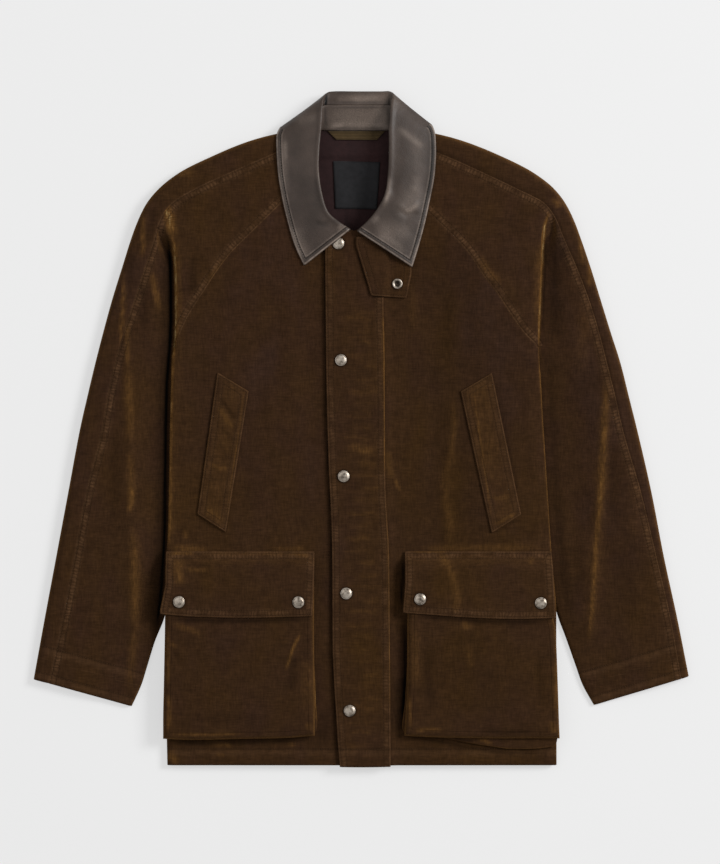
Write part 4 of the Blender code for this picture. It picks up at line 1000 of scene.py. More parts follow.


# Painted sheen: golden highlights along fold edges, crease ridges, puckers, seams and cut edges; the broad
# strokes on the welts make them lighter and more golden all over.
PAINTED_SHEEN = {
    "sleeve_front_right": [
        Stroke(0.8, 5.0, [(-254, 296), (-249, 277), (-246, 262), (-242, 244)]),
        Stroke(0.8, 3.6, [(-254, 290), (-250, 272), (-248, 250)]),
        Stroke(1.45, 1.8, RIGHT_FOLD),
        Stroke(0.3, 4.0, [(x + 4, y) for x, y in RIGHT_FOLD]),
        Stroke(0.55, 4.0, [(-272, 207), (-269, 185), (-264, 165), (-261, 148)]),
        Stroke(0.5, 3.0, [(-304, 142), (-304, 110), (-303, 75)]),
        Stroke(0.42, 6.0, [(-304, 92), (-302, 50), (-300, 10), (-302, -28)]),
        Stroke(0.35, 5.0, [(-301, -20), (-299, -60), (-300, -110)]),
        Stroke(0.5, 3.4, [(-298, -72), (-298, -92), (-303, -113)]),
        Stroke(0.4, 6.0, [(-296, -118), (-294, -180), (-294, -230), (-293, -272)]),
        Stroke(0.3, 5.0, [(-294, -255), (-299, -310), (-302, -345)]),
        Stroke(0.35, 5.0, [(-155, 234), (-180, 212), (-203, 183)]),
    ],
    "sleeve_back_right": [
        Stroke(0.6, 2.6, [(-282, 284), (-284, 262), (-283, 240), (-285, 216)]),
        Stroke(0.6, 2.6, [(-309, 207), (-309, 170), (-311, 130), (-310, 95)]),
        Stroke(0.4, 4.0, [(-240, 327), (-228, 331), (-214, 333)]),
    ],
    "sleeve_front_left": [
        Stroke(1.5, 1.6, LEFT_FOLD),
        Stroke(1.2, 1.4, LEFT_LOWER_FOLD),
        Stroke(0.3, 5.0, [(234, 252), (231, 200), (229, 160), (227, 120)]),
        Stroke(0.5, 4.0, [(320, 72), (317.5, 30), (315.5, -15), (313, -60), (309, -120)]),
        Stroke(0.6, 2.2, [(313, -60), (309, -110), (305, -150), (303, -195), (301, -235), (295, -285)]),
        Stroke(0.22, 8.0, [(318, 60), (312, -60), (306, -160), (298, -260)]),
        Stroke(0.12, 9.0, [(288, 175), (288, 120), (284, 60)]),
        Stroke(0.1, 8.0, [(352, -60), (355, -110), (356, -155)]),
        Stroke(0.35, 5.0, [(150, 226), (166, 203), (185, 186)]),
    ],
    "sleeve_back_left": [
        Stroke(0.5, 2.4, [(284, 250), (286, 228), (290, 208)]),
        Stroke(0.5, 2.6, [(299, 220), (297, 200), (296, 181)]),
        Stroke(0.45, 4.0, [(248, 299), (254, 294), (260, 286)]),
    ],
    "front_right": [
        Stroke(0.85, 2.0, RIGHT_EDGE),
        Stroke(0.14, 6.0, [(x + 5, y) for x, y in RIGHT_EDGE]),
        Stroke(0.45, 5.0, [(-252, -155), (-225, -157), (-195, -158)]),
        Stroke(0.3, 3.5, [(-120, -156), (-90, -157), (-66, -156)]),
        Stroke(0.35, 3.0, [(-228, -128), (-228, -145)]),
        Stroke(0.4, 2.5, [(-192, -412), (-178, -411), (-166, -412)]),
        Stroke(0.35, 2.5, [(-98, -410), (-84, -411)]),
        Stroke(0.35, 2.5, [(-190, -425), (-176, -424)]),
        Stroke(0.45, 5.0, [(-252, -416), (-248, -426), (-236, -436)]),
    ],
    "front_left": [
        Stroke(0.9, 1.6, LEFT_EDGE),
        Stroke(0.75, 2.0, [(246, -112), (248.5, -155), (250.5, -190), (253.5, -244)]),
        Stroke(0.28, 3.6, [(119, 44), (121, 10), (118, -30), (112, -60)]),
        Stroke(0.34, 5.0, [(113, -36), (109, -75), (111, -100), (116, -125), (113, -159)]),
        Stroke(0.4, 2.2, [(44, -64), (47, -74), (51, -83)]),
        Stroke(0.3, 4.0, [(34, -25), (37, -55), (43, -70)]),
        Stroke(0.12, 6.0, [(66, 192), (68, 150), (66, 118)]),
        Stroke(0.3, 4.0, [(60, -156), (150, -155), (245, -155)]),
    ],
    "placket": [
        Stroke(0.8, 1.5, [(28, 165), (29.5, 120), (30, 60), (31, 0), (31, -40), (32.5, -72)]),
        Stroke(0.4, 1.5, [(32.5, -60), (34.5, -130), (36, -200), (37, -300), (37.5, -380)]),
        Stroke(0.3, 6.0, [(-20, -20), (0, -27), (24, -31)]),
        *ripples(),
    ],
    "welt_right": [
        Stroke(0.15, 16, [(-156, 90), (-178, -20), (-200, -150)]),
        Stroke(0.5, 1.1, [(-187, 76), (-200, -20), (-213.5, -112)]),
        Stroke(0.4, 1.1, [(-150, 60), (-177, -136)]),
        Stroke(0.3, 3, [(-186, 30), (-174, 10), (-162, -4)]),
        Stroke(0.3, 3, [(-198, -44), (-184, -52), (-168, -52)]),
        Stroke(0.3, 4, [(-204, -104), (-190, -110), (-178, -124)]),
    ],
    "welt_left": [
        Stroke(0.15, 16, [(142, 90), (168, -20), (194, -150)]),
        Stroke(0.8, 1.1, [(174, 72), (208.5, -104)]),
        Stroke(0.4, 1.1, [(145, 57), (171, -127)]),
        Stroke(0.3, 3, [(166, -88), (180, -91), (196, -86)]),
        Stroke(0.3, 3, [(170, -126), (190, -116), (204, -110)]),
    ],
    "flap_right": [
        Stroke(0.6, 1.5, [(-255, -150), (-255, -190), (-257, -215), (-262, -245)]),
        Stroke(0.8, 2.0, [(-254, -162.5), (-235, -162), (-212, -162)]),
        Stroke(0.3, 1.8, [(-220, -162), (-150, -162.5), (-62, -163)]),
        Stroke(0.5, 7.0, [(-236, -165), (-238, -186), (-232, -207)]),
        Stroke(0.35, 3.0, [(-230, -182), (-212, -184), (-195, -183)]),
        Stroke(0.4, 2.5, [(-92, -162), (-76, -164), (-64, -165)]),
    ],
    "flap_left": [
        Stroke(0.36, 5.5, [(99, -157), (108, -170), (118, -188), (122, -208)]),
        Stroke(0.32, 5.5, [(120, -196), (124, -220), (122, -243)]),
        Stroke(0.6, 1.8, [(59, -160), (90, -159.5), (118, -160)]),
        Stroke(0.3, 3.0, [(223, -165), (218, -178)]),
    ],
    "pocket_right": [
        Stroke(0.4, 2.6, [(-251, -250), (-250.5, -300), (-251, -345)]),
        Stroke(0.6, 3.0, [(-250, -340), (-249, -370), (-250, -397)]),
        Stroke(0.95, 1.7, [(-76, -264), (-84, -276), (-90, -290), (-95, -306), (-99, -316)]),
        Stroke(0.5, 2.0, [(-252, -397), (-200, -397.5), (-146, -396)]),
        Stroke(0.3, 4.0, [(-246, -254), (-220, -261), (-204, -269)]),
        Stroke(0.3, 3.0, [(-247, -277), (-239, -286)]),
        Stroke(0.3, 4.0, [(-68, -380), (-68, -393)]),
        Stroke(0.2, 9.0, [(-70, -290), (-70, -330), (-68, -370)]),
    ],
    "gusset_right": [
        Stroke(0.9, 2.4, [(-64, -272), (-61.5, -310), (-59, -345), (-57, -375), (-55, -396)]),
        Stroke(0.4, 3.0, [(-252, -250), (-254, -330), (-255, -395)]),
    ],
    "pocket_left": [
        Stroke(0.5, 2.6, [(63, -340), (63.5, -370), (64, -394)]),
        Stroke(0.22, 9.0, [(68, -250), (70, -300), (70, -345)]),
        Stroke(0.45, 2.4, [(66, -393), (85, -390), (108, -391)]),
        Stroke(0.4, 4.0, [(133, -248), (139, -262)]),
        Stroke(0.25, 5.0, [(136, -278), (142, -300), (140, -316)]),
        Stroke(0.4, 3.5, [(254, -290), (254, -340), (253, -372)]),
        Stroke(0.45, 4.5, [(247, -378), (252, -397)]),
    ],
    "gusset_left": [
        Stroke(0.95, 1.5, [(90, -402), (130, -409), (170, -415), (200, -418.5), (225, -418), (256, -414)]),
        Stroke(0.6, 2.0, [(150, -403), (158, -405), (172, -410)]),
    ],
}
SHADE = {
    "sleeve_front_right": [
        Stroke(0.8, 2.6, RIGHT_GAP),
        Stroke(0.42, 8, [(x - 5, y) for x, y in RIGHT_GAP]),
        Stroke(0.22, 6, [(-284, 205), (-284, 160), (-284, 110)]),
        Stroke(0.25, 6, [(-217, 232), (-219, 195), (-223, 162)]),
        Stroke(0.15, 9, [(-322, 0), (-322, -80), (-320, -160)]),
    ],
    "sleeve_back_right": [
        Stroke(0.25, 4, [(-269, 292), (-272, 262), (-280, 235)]),
        Stroke(0.2, 5, [(-296, 232), (-298, 205), (-302, 175)]),
    ],
    "sleeve_front_left": [
        Stroke(0.34, 9, [(252, 264), (253, 220), (252, 165), (252, 105)]),
        Stroke(0.28, 7, [(246, 110), (247, 50), (250, 0), (253, -60), (258, -130), (266, -200),
                         (276, -262)]),
        Stroke(0.4, 1.6, [(243, 268), (240.5, 240), (239.5, 200), (237.5, 160), (236, 115)]),
        Stroke(0.25, 5, [(261, 238), (265, 222), (269, 205)]),
        Stroke(0.16, 6, [(328, -10), (325, -80), (320, -130)]),
        Stroke(0.12, 22, [(290, 120), (312, 20), (325, -80), (345, -180), (352, -260)]),
        Stroke(0.14, 7, [(206, 300), (206, 260), (214, 230)]),
    ],
    "front_right": [
        Stroke(0.7, 1.2, [(x - 0.9, y) for y, x in PLACKET_EDGE]),
        Stroke(0.08, 6, [(x - 6, y) for y, x in PLACKET_EDGE]),
        Stroke(0.4, 1.8, [(-187.5, 74), (-200, -20), (-213.5, -112)]),
        Stroke(0.35, 2.0, [(-214, -113), (-196, -126), (-177, -137)]),
        Stroke(0.5, 3.5, [(-256, -409), (-200, -409), (-120, -407), (-56, -404)]),
        Stroke(0.3, 10, [(-46, -360), (-48, -400), (-60, -412)]),
    ],
    "front_left": [
        Stroke(0.75, 2.2, [(56, -160), (54.5, -190), (52.5, -220), (52, -244)]),
        Stroke(0.12, 7, [(52, -165), (49, -200), (47, -240)]),
        Stroke(0.15, 60, [(90, 260), (130, 160), (140, 40), (130, -100), (110, -300), (150, -420)]),
        Stroke(0.85, 3.0, [(57, -238), (57.5, -290), (57, -340), (54.5, -375), (52.5, -402)]),
        Stroke(0.4, 10, [(52, -310), (48, -355), (46, -392), (54, -406)]),
        Stroke(0.4, 3.0, [(54, -402), (90, -405), (130, -412), (170, -419), (200, -422), (254, -419)]),
        Stroke(0.25, 2.0, [(168, -138), (188, -127), (208, -115)]),
        Stroke(0.2, 2.0, [(172, 70), (191, -20), (210, -112)]),
        Stroke(0.14, 8, [(110, 200), (114, 140), (112, 70)]),
        Stroke(0.35, 2.0, [(26, 170.5), (45, 169.5), (61, 168)]),
    ],
    "placket": [
        Stroke(0.7, 1.5, [(-7.5, 243), (-6, 236), (-2.5, 222), (3, 204), (8, 188), (12, 173)]),
        Stroke(0.5, 1.6, [(12, 171.5), (20, 171), (32, 170.5)]),
        Stroke(0.14, 7, [(-20, 30), (0, 10), (20, 14)]),
    ],
    "throat_latch": [
        Stroke(0.3, 6, [(6, 246), (30, 232), (56, 216)]),
    ],
    "welt_right": [
        Stroke(0.3, 3, [(-184, 42), (-172, 24), (-160, 8)]),
        Stroke(0.22, 3, [(-184, 4), (-172, -8), (-162, -14)]),
        Stroke(0.22, 2.5, [(-196, -34), (-180, -38), (-168, -38)]),
        Stroke(0.22, 2.5, [(-202, -60), (-186, -68), (-172, -66)]),
    ],
    "welt_left": [
        Stroke(0.14, 3, [(144, 36), (156, 30), (168, 32)]),
        Stroke(0.14, 2.5, [(164, -78), (178, -82), (192, -78)]),
        Stroke(0.14, 2.5, [(168, -98), (182, -101), (196, -96)]),
    ],
    "flap_right": [
        Stroke(0.22, 3.5, [(-228, -173), (-210, -177), (-190, -180)]),
        Stroke(0.12, 6, [(-140, -176), (-110, -177), (-75, -174)]),
    ],
    "pocket_right": [
        Stroke(0.55, 3.5, [(-256, -244), (-225, -248), (-150, -249.5), (-58, -246)]),
        Stroke(0.28, 7, [(-90, -288), (-90, -320), (-94, -350)]),
        Stroke(0.22, 3.5, [(-246, -282), (-240, -292), (-236, -308)]),
        Stroke(0.16, 5, [(-232, -377), (-170, -378), (-110, -375)]),
    ],
    "pocket_left": [
        Stroke(0.55, 3.5, [(58, -242), (110, -246), (160, -250), (200, -251), (258, -249)]),
        Stroke(0.28, 4, [(146, -389), (180, -395), (234, -392)]),
        Stroke(0.11, 50, [(110, -260), (150, -320), (150, -390)]),
        Stroke(0.22, 7, [(84, -262), (85, -320), (93, -380)]),
        Stroke(0.18, 5, [(233, -275), (232, -330), (235, -375)]),
    ],
    "gusset_left": [
        Stroke(0.4, 2.5, [(118, -404), (140, -406), (150, -410)]),
    ],
}

# Broad patches where the dye leans to olive, or to violet where the amount is below zero.
TINT = {
    "front_right": [
        Stroke(-0.8, 60, [(-120, 310), (-120, 120), (-130, 20), (-150, -80)]),
        Stroke(0.6, 55, [(-215, -60), (-180, -150), (-120, -170), (-40, -160)]),
        Stroke(0.5, 30, [(-60, -380), (-140, -410), (-256, -420)]),
    ],
    "front_left": [
        Stroke(-1.0, 40, [(150, 330), (170, 280), (180, 200), (165, 120), (162, 0), (160, -60)]),
        Stroke(1.0, 16, [(120, 200), (116, 100), (118, 0), (116, -120), (120, -180)]),
        Stroke(0.7, 26, [(210, 20), (225, -60), (215, -150), (150, -160)]),
        Stroke(0.9, 30, [(60, -380), (140, -420), (256, -420)]),
    ],
    "sleeve_front_right": [
        Stroke(-0.7, 14, [(-316, 150), (-322, 60), (-330, -20)]),
        Stroke(-0.7, 18, [(-250, 320), (-262, 280), (-276, 240)]),
        Stroke(0.4, 16, [(-282, 110), (-285, 40), (-285, -40)]),
    ],
    "sleeve_front_left": [
        Stroke(-0.9, 34, [(230, 300), (262, 240), (290, 120), (310, 0), (325, -120), (335, -200)]),
    ],
    "sleeve_back_left": [
        Stroke(-0.8, 30, [(270, 260), (310, 120), (350, -60), (380, -220), (400, -330)]),
    ],
    "sleeve_back_right": [
        Stroke(-0.6, 30, [(-280, 250), (-330, 60), (-360, -60)]),
    ],
    "pocket_right": [
        Stroke(0.7, 26, [(-215, -250), (-205, -300), (-200, -380)]),
    ],
    "pocket_left": [
        Stroke(0.9, 50, [(100, -250), (140, -320), (150, -390)]),
        Stroke(0.5, 30, [(230, -280), (230, -380)]),
    ],
    "flap_right": [
        Stroke(0.5, 24, [(-240, -190), (-190, -200), (-120, -200)]),
    ],
    "flap_left": [
        Stroke(0.9, 26, [(70, -200), (130, -200), (180, -200)]),
        Stroke(0.4, 22, [(180, -200), (240, -200)]),
    ],
    "placket": [
        Stroke(-0.6, 30, [(0, 130), (0, 80), (2, 30)]),
        Stroke(0.5, 30, [(-10, -240), (5, -320), (20, -400)]),
    ],
}


# ---- fronts, placket and back --------------------------------------------------------------

def raglan_out(side, y):
    """The front raglan seam, which runs out at the body's edge where the armpit fold ends."""
    return np.minimum(at(side.raglan, y), at(side.fold, y) - 2.5)


def raglan_seam(side):
    path = [(side.sign * raglan_out(side, y), y) for y in levels(side.raglan[0][0], FOLD_END_Y, 6)]
    return Seam(path, (side.sign * 300, 300))


def across_hem(y, *ends):
    """The stitched line of a hem."""
    return Seam([(x, y) for x in ends], (0, y + 50))


FRONT_COLUMNS = 98
BACK_COLUMNS = 70
PLACKET_COLUMNS = 44
EDGE_STEPS = 7
SLEEVE_EDGE_STEPS = 6
CUFF_STATIONS = 14
PLACKET_PITCH = 2.5     # of the placket's rows
FOOT_BOW = 0.8          # by which the placket's foot bows out between its edges


def build_front(side, inner_at, height_at):
    """A front from its inner limit to the raglan seam or side edge, and under that edge."""
    top = side.raglan[0][0] - 1.5
    heights = [*levels(top, FOLD_END_Y), *levels(FOLD_END_Y, HEM_Y)[1:]]
    grid = []
    for y in heights:
        sewn = y > FOLD_END_Y
        limit = raglan_out(side, y) - SEAM_GAP if sewn else at(side.fold, y)
        inner = inner_at(y)
        rim = min(EDGE_WIDTH, 0.4 * (limit - inner))
        outs = list(np.linspace(inner, limit - rim, FRONT_COLUMNS + 1))
        outs = np.array(outs + [limit - distance for distance in edge_steps(rim, EDGE_STEPS)])
        upper = [(out, y, z) for out, z in zip(outs, height_at(outs, y))]
        nose = at(NOSE_HEIGHT, y)
        shelf = max(nose - 4.0, CLOTH + 0.7)
        under = ((0.9, nose - 2.2), (3.6, shelf + 0.4), (15.0, shelf), (18.0, CLOTH + GAP))
        turned = [upper[-2], upper[-1], *[(limit - inboard, y, z) for inboard, z in under]]
        turned = spline(np.array([turned]), (1, 2, 2, 4, 2))[0, 2:]
        if sewn:
            turned = np.full(turned.shape, np.nan)
        grid.append(np.concatenate([upper, turned]))
    grid = np.array(grid)
    grid[..., 0] *= side.sign
    fold_x = side.sign * at(side.fold, HEM_Y)
    hem = across_hem(HEM_Y + HEM_DEPTH, side.sign * inner_at(HEM_Y), fold_x)
    cloth_shell(f"front_{side.name}", grid, CLOTH, side.sign < 0, seams=[raglan_seam(side)],
                hems=[hem], sewn=False)


def inner_right(y):
    return at(FRONT_RIGHT_INNER, y)


def inner_left(y):
    return at(FRONT_LEFT_INNER, y) if y > 240 else at(PLACKET_EDGE, y) + 2.5


def build_placket():
    grid = []
    for y in [*levels(PLACKET_TOP, HEM_Y, PLACKET_PITCH), PLACKET_FOOT_Y]:
        xs = np.linspace(at(PLACKET_EDGE, y), at(PLACKET_SEAM, y), PLACKET_COLUMNS)
        grid.append([(x, y - FOOT_BOW * (y < HEM_Y) * (1 - (x / 40) ** 2), z)
                     for x, z in zip(xs, placket_z(xs, y))])
    hem = across_hem(HEM_Y + HEM_DEPTH, at(PLACKET_EDGE, HEM_Y), at(PLACKET_SEAM, HEM_Y))
    cloth_shell("placket", np.array(grid), CLOTH, seams=placket_edges(), hems=[hem], ribs=0.55)


def placket_edges():
    ys = levels(PLACKET_TOP, PLACKET_FOOT_Y, 8)
    return [Seam([(at(rows, y), y) for y in ys], PLACKET_INSIDE) for rows in (PLACKET_EDGE, PLACKET_SEAM)]


def build_back():
    """The back panel, flat on the surface but for the neck, where the collar lies under it."""
    edges = []
    for side in SIDES:
        sewn = [(y, at(side.back_raglan, y) - SEAM_GAP) for y in levels(366, 80, 6)]
        edges.append((side.sign, sewn + [(y, at(side.fold, y) - BACK_MARGIN)
                                         for y in (71, *levels(40, HEM_Y, 40))]))
    grid = []
    for y in [BACK_NECK_Y, *levels(380, HEM_Y, 8)]:
        ends = [sign * at(edge, y) for sign, edge in edges]
        if y > 366:
            ends = [mix(end, neck, (y - 366) / (BACK_NECK_Y - 366)) for end, neck in zip(ends, (-62, 48))]
        xs = np.linspace(ends[0], ends[1], BACK_COLUMNS)
        grid.append([(x, y, z) for x, z in zip(xs, floor_lift(xs, y))])
    cloth_shell("back", np.array(grid), CLOTH, flip=True)


# ---- sleeves -------------------------------------------------------------------------------

# Inboard distance and height from the nose of the armpit fold's underside, and back up the arm.
FOLDED = ((1.2, -2.2), (5.0, -3.2), (9.5, -3.2), (12.0, -4.4), (10.6, -5.5), (4.0, -5.6))
FLAT_STEP = 1.6        # between those points where the fold has not begun
ARM_SHARES = (0.18, 0.36, 0.54, 0.76, 1.0)
RIM_SHARES = (0.42, 0.12, 0.0)
LAST_SEAM_LEVEL = -291.0


def sleeve_rows(side):
    """Stations along a sleeve, from the neck to the cuff."""
    ys = [*levels(376, FOLD_END_Y), *levels(FOLD_END_Y, LAST_SEAM_LEVEL)[1:]]
    rows = [SleeveRow(at(OUTER_LEVEL, y), y, at(INNER_LEVEL, y)) for y in ys]
    last = rows[-1]
    for k in range(1, CUFF_STATIONS + 1):
        rows.append(SleeveRow(*[mix(a, b, k / CUFF_STATIONS) for a, b in zip(last, side.cuff)]))
    return rows


def sleeve_back_row(side, row):
    """From the over-arm seam round the outer edge to the back raglan or under-arm seam."""
    outer = np.array((at(side.outer, row.outer_y), row.outer_y))
    seam = np.array((at(side.seam, row.seam_y), row.seam_y))
    hidden = side.back_raglan if row.inner_y >= 80 else side.under_arm
    back = np.array((at(hidden, row.inner_y), row.inner_y))
    height = at(SEAM_HEIGHT, row.seam_y)
    reach = np.linalg.norm(seam - outer)
    lift = floor_lift(side.sign * outer[0], outer[1])
    nose = mix(lift, height, 0.45)
    points = []
    limit = reach - SEAM_GAP / 2
    for distance in (limit, *edge_steps(CUFF_EDGE_WIDTH, SLEEVE_EDGE_STEPS)[:-1], 0.0):
        distance = min(distance, limit)
        out, y = outer + (seam - outer) * distance / reach
        points.append((out, y, mix(nose, height, rounding(distance, CUFF_EDGE_WIDTH))))
    length = np.linalg.norm(back - outer)
    for distance in (0.8, 2.8, 6.5, 0.4 * length, length):
        out, y = outer + (back - outer) * distance / length
        lift = floor_lift(side.sign * out, y)
        points.append((out, y, mix(nose, lift, rounding(distance, 6.5)) if distance < 6.5 else lift))
    return [(side.sign * out, y, z) for out, y, z in points]


def arm_z(side, out, y, start, end, start_z):
    """Upper face of an arm between its inner start and the over-arm seam."""
    share = (out - start) / (end - start)
    ridge = 2.6 * math.exp(-((out - at(side.ridge, y)) / 9) ** 2) * ease((140 - y) / 60)
    return mix(start_z, at(SEAM_HEIGHT, y), ease(1.35 * share)) + ridge * ease((1 - share) * 5)


def shoulder_row(side, y):
    """Across the shoulder at one level, with the armpit fold as far as it has grown."""
    start = raglan_out(side, y) if y < side.raglan[0][0] else side.raglan[0][1] + 2
    seam = at(side.seam, y) - SEAM_GAP / 2
    fold = at(side.fold, y)
    below = y - side.fold_top
    drop, overhang = at(FOLD_DROP, below), at(FOLD_OVERHANG, below)
    if y > side.fold_top:
        fold = mix(fold, mix(start, seam, 0.5 if y > 300 else 0.75), ease(below / 20))
    rim = min(EDGE_WIDTH, 0.5 * (fold - start))
    outs = [mix(start, fold - rim, share) for share in (0.0, 0.5, 1.0)]
    outs += [fold - rim * share for share in RIM_SHARES]

    def top(out):
        return mix(body_z(side, out, y), at(SEAM_HEIGHT, y), ease((out - start) / (seam - start)))

    unfolded = y > side.fold_top
    row = [(out, y, top(out) if unfolded else body_z(side, out, y)) for out in outs]
    nose = at(NOSE_HEIGHT, y)
    step = min(FLAT_STEP, (seam - fold) / 9)
    for k, (inboard, dz) in enumerate(FOLDED, 1):
        out = mix(fold + step * k, fold - inboard, overhang)
        sunk = mix(body_z(side, fold, y), nose + FOLDED[-1][1] - 0.1, drop * k / len(FOLDED))
        row.append((out, y, mix(top(out) if unfolded else sunk, nose + dz, overhang)))
    foot, _, foot_z = row[-1]
    for share in ARM_SHARES:
        out = mix(foot, seam, share)
        row.append((out, y, top(out) if unfolded else arm_z(side, out, y, foot, seam, foot_z)))
    return row


def arm_row(side, row):
    """Across the front of an arm below the armpit, from its under-arm edge."""
    inner = np.array((at(side.under_arm, row.inner_y), row.inner_y))
    seam = np.array((at(side.seam, row.seam_y) - SEAM_GAP / 2, row.seam_y))
    length = np.linalg.norm(seam - inner)
    inner_z = at(NOSE_HEIGHT, max(row.inner_y, -200)) - 5.6

    def place(distance):
        return mix(inner, seam, distance / length)

    points = [None] * 8
    points += [(*place(0.0), CLOTH + GAP), (*place(0.2), 4.1)]
    points += [(*place(2.2), inner_z - 0.6), (*place(8.0), inner_z)]
    for share in ARM_SHARES:
        out, y = place(mix(8.0, length, share))
        points.append((out, y, arm_z(side, out, y, place(8.0)[0], seam[0], inner_z)))
    return points


def cuff_lines(side):
    """Where a cuff is stitched across, on the sleeve's front."""
    cuff = side.cuff
    inner = np.array((at(side.under_arm, cuff.inner_y), cuff.inner_y))
    outer = np.array((at(side.outer, cuff.outer_y), cuff.outer_y))
    up = np.array((inner[1] - outer[1], outer[0] - inner[0])) / np.linalg.norm(outer - inner)
    found = []
    for depth in CUFF_DEPTHS:
        ends = [point + up * depth for point in (inner - (outer - inner) * 0.05, outer)]
        found.append(Seam([(side.sign * out, y) for out, y in ends], (side.sign * 300, 0)))
    return found


def over_arm_seam(side):
    rows = sleeve_rows(side)
    rows = rows[:-1:2] + rows[-1:]
    path = [(side.sign * at(side.seam, row.seam_y), row.seam_y) for row in rows]
    return Seam(path, (side.sign * 150, 0))


def build_sleeve(side):
    rows = sleeve_rows(side)
    shoulder = [row for row in rows if row.seam_y > FOLD_END_Y + 0.1]
    arm = rows[len(shoulder):]
    grid, starts = fine_rows([shoulder_row(side, row.seam_y) for row in shoulder[1:]]
                             + [arm_row(side, row) for row in arm])
    grid[..., 0] *= side.sign
    keep = np.ones((grid.shape[0] - 1, grid.shape[1] - 1), bool)
    keep[len(shoulder) - 2, :starts[11]] = False
    flip = side.sign < 0
    cloth_shell(f"sleeve_front_{side.name}", grid, CLOTH, flip, keep,
                seams=[raglan_seam(side), over_arm_seam(side)], hems=cuff_lines(side), ribs=1.0)
    back, _ = fine_rows([sleeve_back_row(side, row) for row in rows], 4.0)
    cloth_shell(f"sleeve_back_{side.name}", back, CLOTH, flip, seams=[over_arm_seam(side)],
                hems=cuff_lines(side), sewn=False)


# ---- collar and neck -----------------------------------------------------------------------

def fall_row(row):
    """One station of the fall: stand seam, roll, and the leaf to its outer edge."""
    under = row.outer[2] < 1
    points = [row.seam]
    points.append(tuple(mix(s, r, 0.6) for s, r in zip(row.seam, row.roll)))
    points.append(row.roll)
    for share in (0.05, 0.13, 0.35, 0.6, 0.82, 1.0):
        x, y, z = (mix(r, o, share) for r, o in zip(row.roll, row.outer))
        if under:
            z = row.roll[2] * max(1 - share / 0.13, 0.0) ** 1.6
        else:
            z += row.crown * 4 * share * (1 - share) + (1.2 if share == 0.05 else 0)
        points.append((x, y, z))
    return points


def collar_grid():
    return refined([fall_row(row) for row in COLLAR_ROWS], 2.3)


def leaf_edges(grid):
    """Edges of the two leaves that show, each from its roll round its point to the back."""
    found = []
    for rows in (grid, grid[::-1]):
        roll = int(np.argmax(rows[0, :, 2]))
        edge = [point[:2] for point in rows[:, -1] if point[2] > 8 and point[0] * rows[0, -1, 0] > 0]
        found.append(Seam([*rows[0, roll:-1:4, :2], *edge[::4]], (-5, 330)))
    return found


def build_collar():
    grid = collar_grid()
    seam, along = seam_fields(grid, leaf_edges(grid))
    hidden = (np.abs(grid[..., 0] + 5.5) < 40) & (grid[..., 1] > 300) | (grid[..., 2] < 8)
    seam = np.where(hidden, FAR, seam)
    # Painted shade and painted highlights on the fall.
    shade = stroke_sum(grid, LEATHER_SHADE)
    light = stroke_sum(grid, LEATHER_HIGHLIGHTS)
    dents = stroke_sum(grid, LEATHER_DENTS) + 0.35 * unevenness(grid, 30, 12.3)
    grid[..., 2] += dents * (grid[..., 2] > 15)
    shell("collar_fall", grid, LEATHER, leather,
          fields={"seam": seam, "seam_along": along, "shade": shade, "gold": light})
    rows = []
    for row in COLLAR_ROWS[1:-1]:
        seam, foot = np.array(row.seam, float), np.array(row.foot, float)
        top = mix(seam, foot, STAND_GAP / np.linalg.norm(foot - seam))
        rows.append([tuple(foot), tuple(mix(top, foot, 0.5)), tuple(top)])
    grid = refined(rows, 2.5)
    far = np.full(grid.shape[:2], FAR)
    shell("collar_stand", grid, STAND_WALL, leather,
          fields={"seam": far, "seam_along": far, "shade": stroke_sum(grid, STAND_SHADE),
                  "gold": stroke_sum(grid, STAND_HIGHLIGHTS)})


def between(corners, columns, rows):
    """Places in plan between four corners, which run round from the top right."""
    a, b, c, d = np.array(corners, float)
    v = np.linspace(0, 1, rows + 1)[:, None]
    left, right = mix(a, d, v), mix(b, c, v)
    share = np.linspace(0, 1, columns + 1)[None, :, None]
    return left[:, None] + (right - left)[:, None] * share


def with_height(places, height_at):
    x, y = places[..., 0], places[..., 1]
    return np.stack([x, y, height_at(x, y)], axis=-1)


def lining_z(x, y):
    return floor_lift(x, y) + CLOTH + GAP + LINING


def build_neck():
    rows = []
    for y in levels(388.5, 236, 3):
        left, right = at(LINING_LEFT, y), at(LINING_RIGHT, y)
        xs = np.linspace(left, right, 48)
        rows.append(np.stack([xs, np.full(48, y), lining_z(xs, y)], axis=-1))
    grid = np.array(rows)
    pleat = stroke_sum(grid, [Stroke(0.9, 4, [(-8, 300), (-10, 262), (-12, 225)])])
    grid[..., 2] += pleat + 0.3 * unevenness(grid, 24, 4.4)
    shade = stroke_sum(grid, LINING_SHADE)
    shell("lining", grid, LINING, lining_material, fields={"shade": shade})
    grid = with_height(between(LABEL_CORNERS, 24, 24), lambda x, y: lining_z(x, y) + GAP + LABEL)
    grid[..., 2] += 0.25 * unevenness(grid, 20, 6.1) + 0.3
    # Darker along the label's border; the negative stroke is painted light on its right side.
    shade = stroke_sum(grid, [Stroke(0.5, 1.5, [*LABEL_CORNERS, LABEL_CORNERS[0]]),
                              Stroke(-0.5, 12, [(18, 380), (18, 320), (18, 260)])])
    shell("label", grid, LABEL, label_material, fields={"shade": shade})
    grid = with_height(between(LOOP_CORNERS, 34, 8), lambda x, y: lining_z(x, y) + GAP + TAPE)
    sag = np.clip((387 - grid[..., 1]) / 11, 0, 1)
    grid[..., 2] += 0.8 * sag
    shell("hanger_loop", grid, TAPE, tape_material,
          fields={"shade": 0.35 * (1 - sag) + 0.2 * sag ** 6})


# ---- what lies on the fronts ---------------------------------------------------------------

def latch_z(x, y):
    high = panel_z(x, y) + 2 * OVERLAP + GAP + LATCH
    return high - 2 * OVERLAP * ease((x - 28.5) / 12)


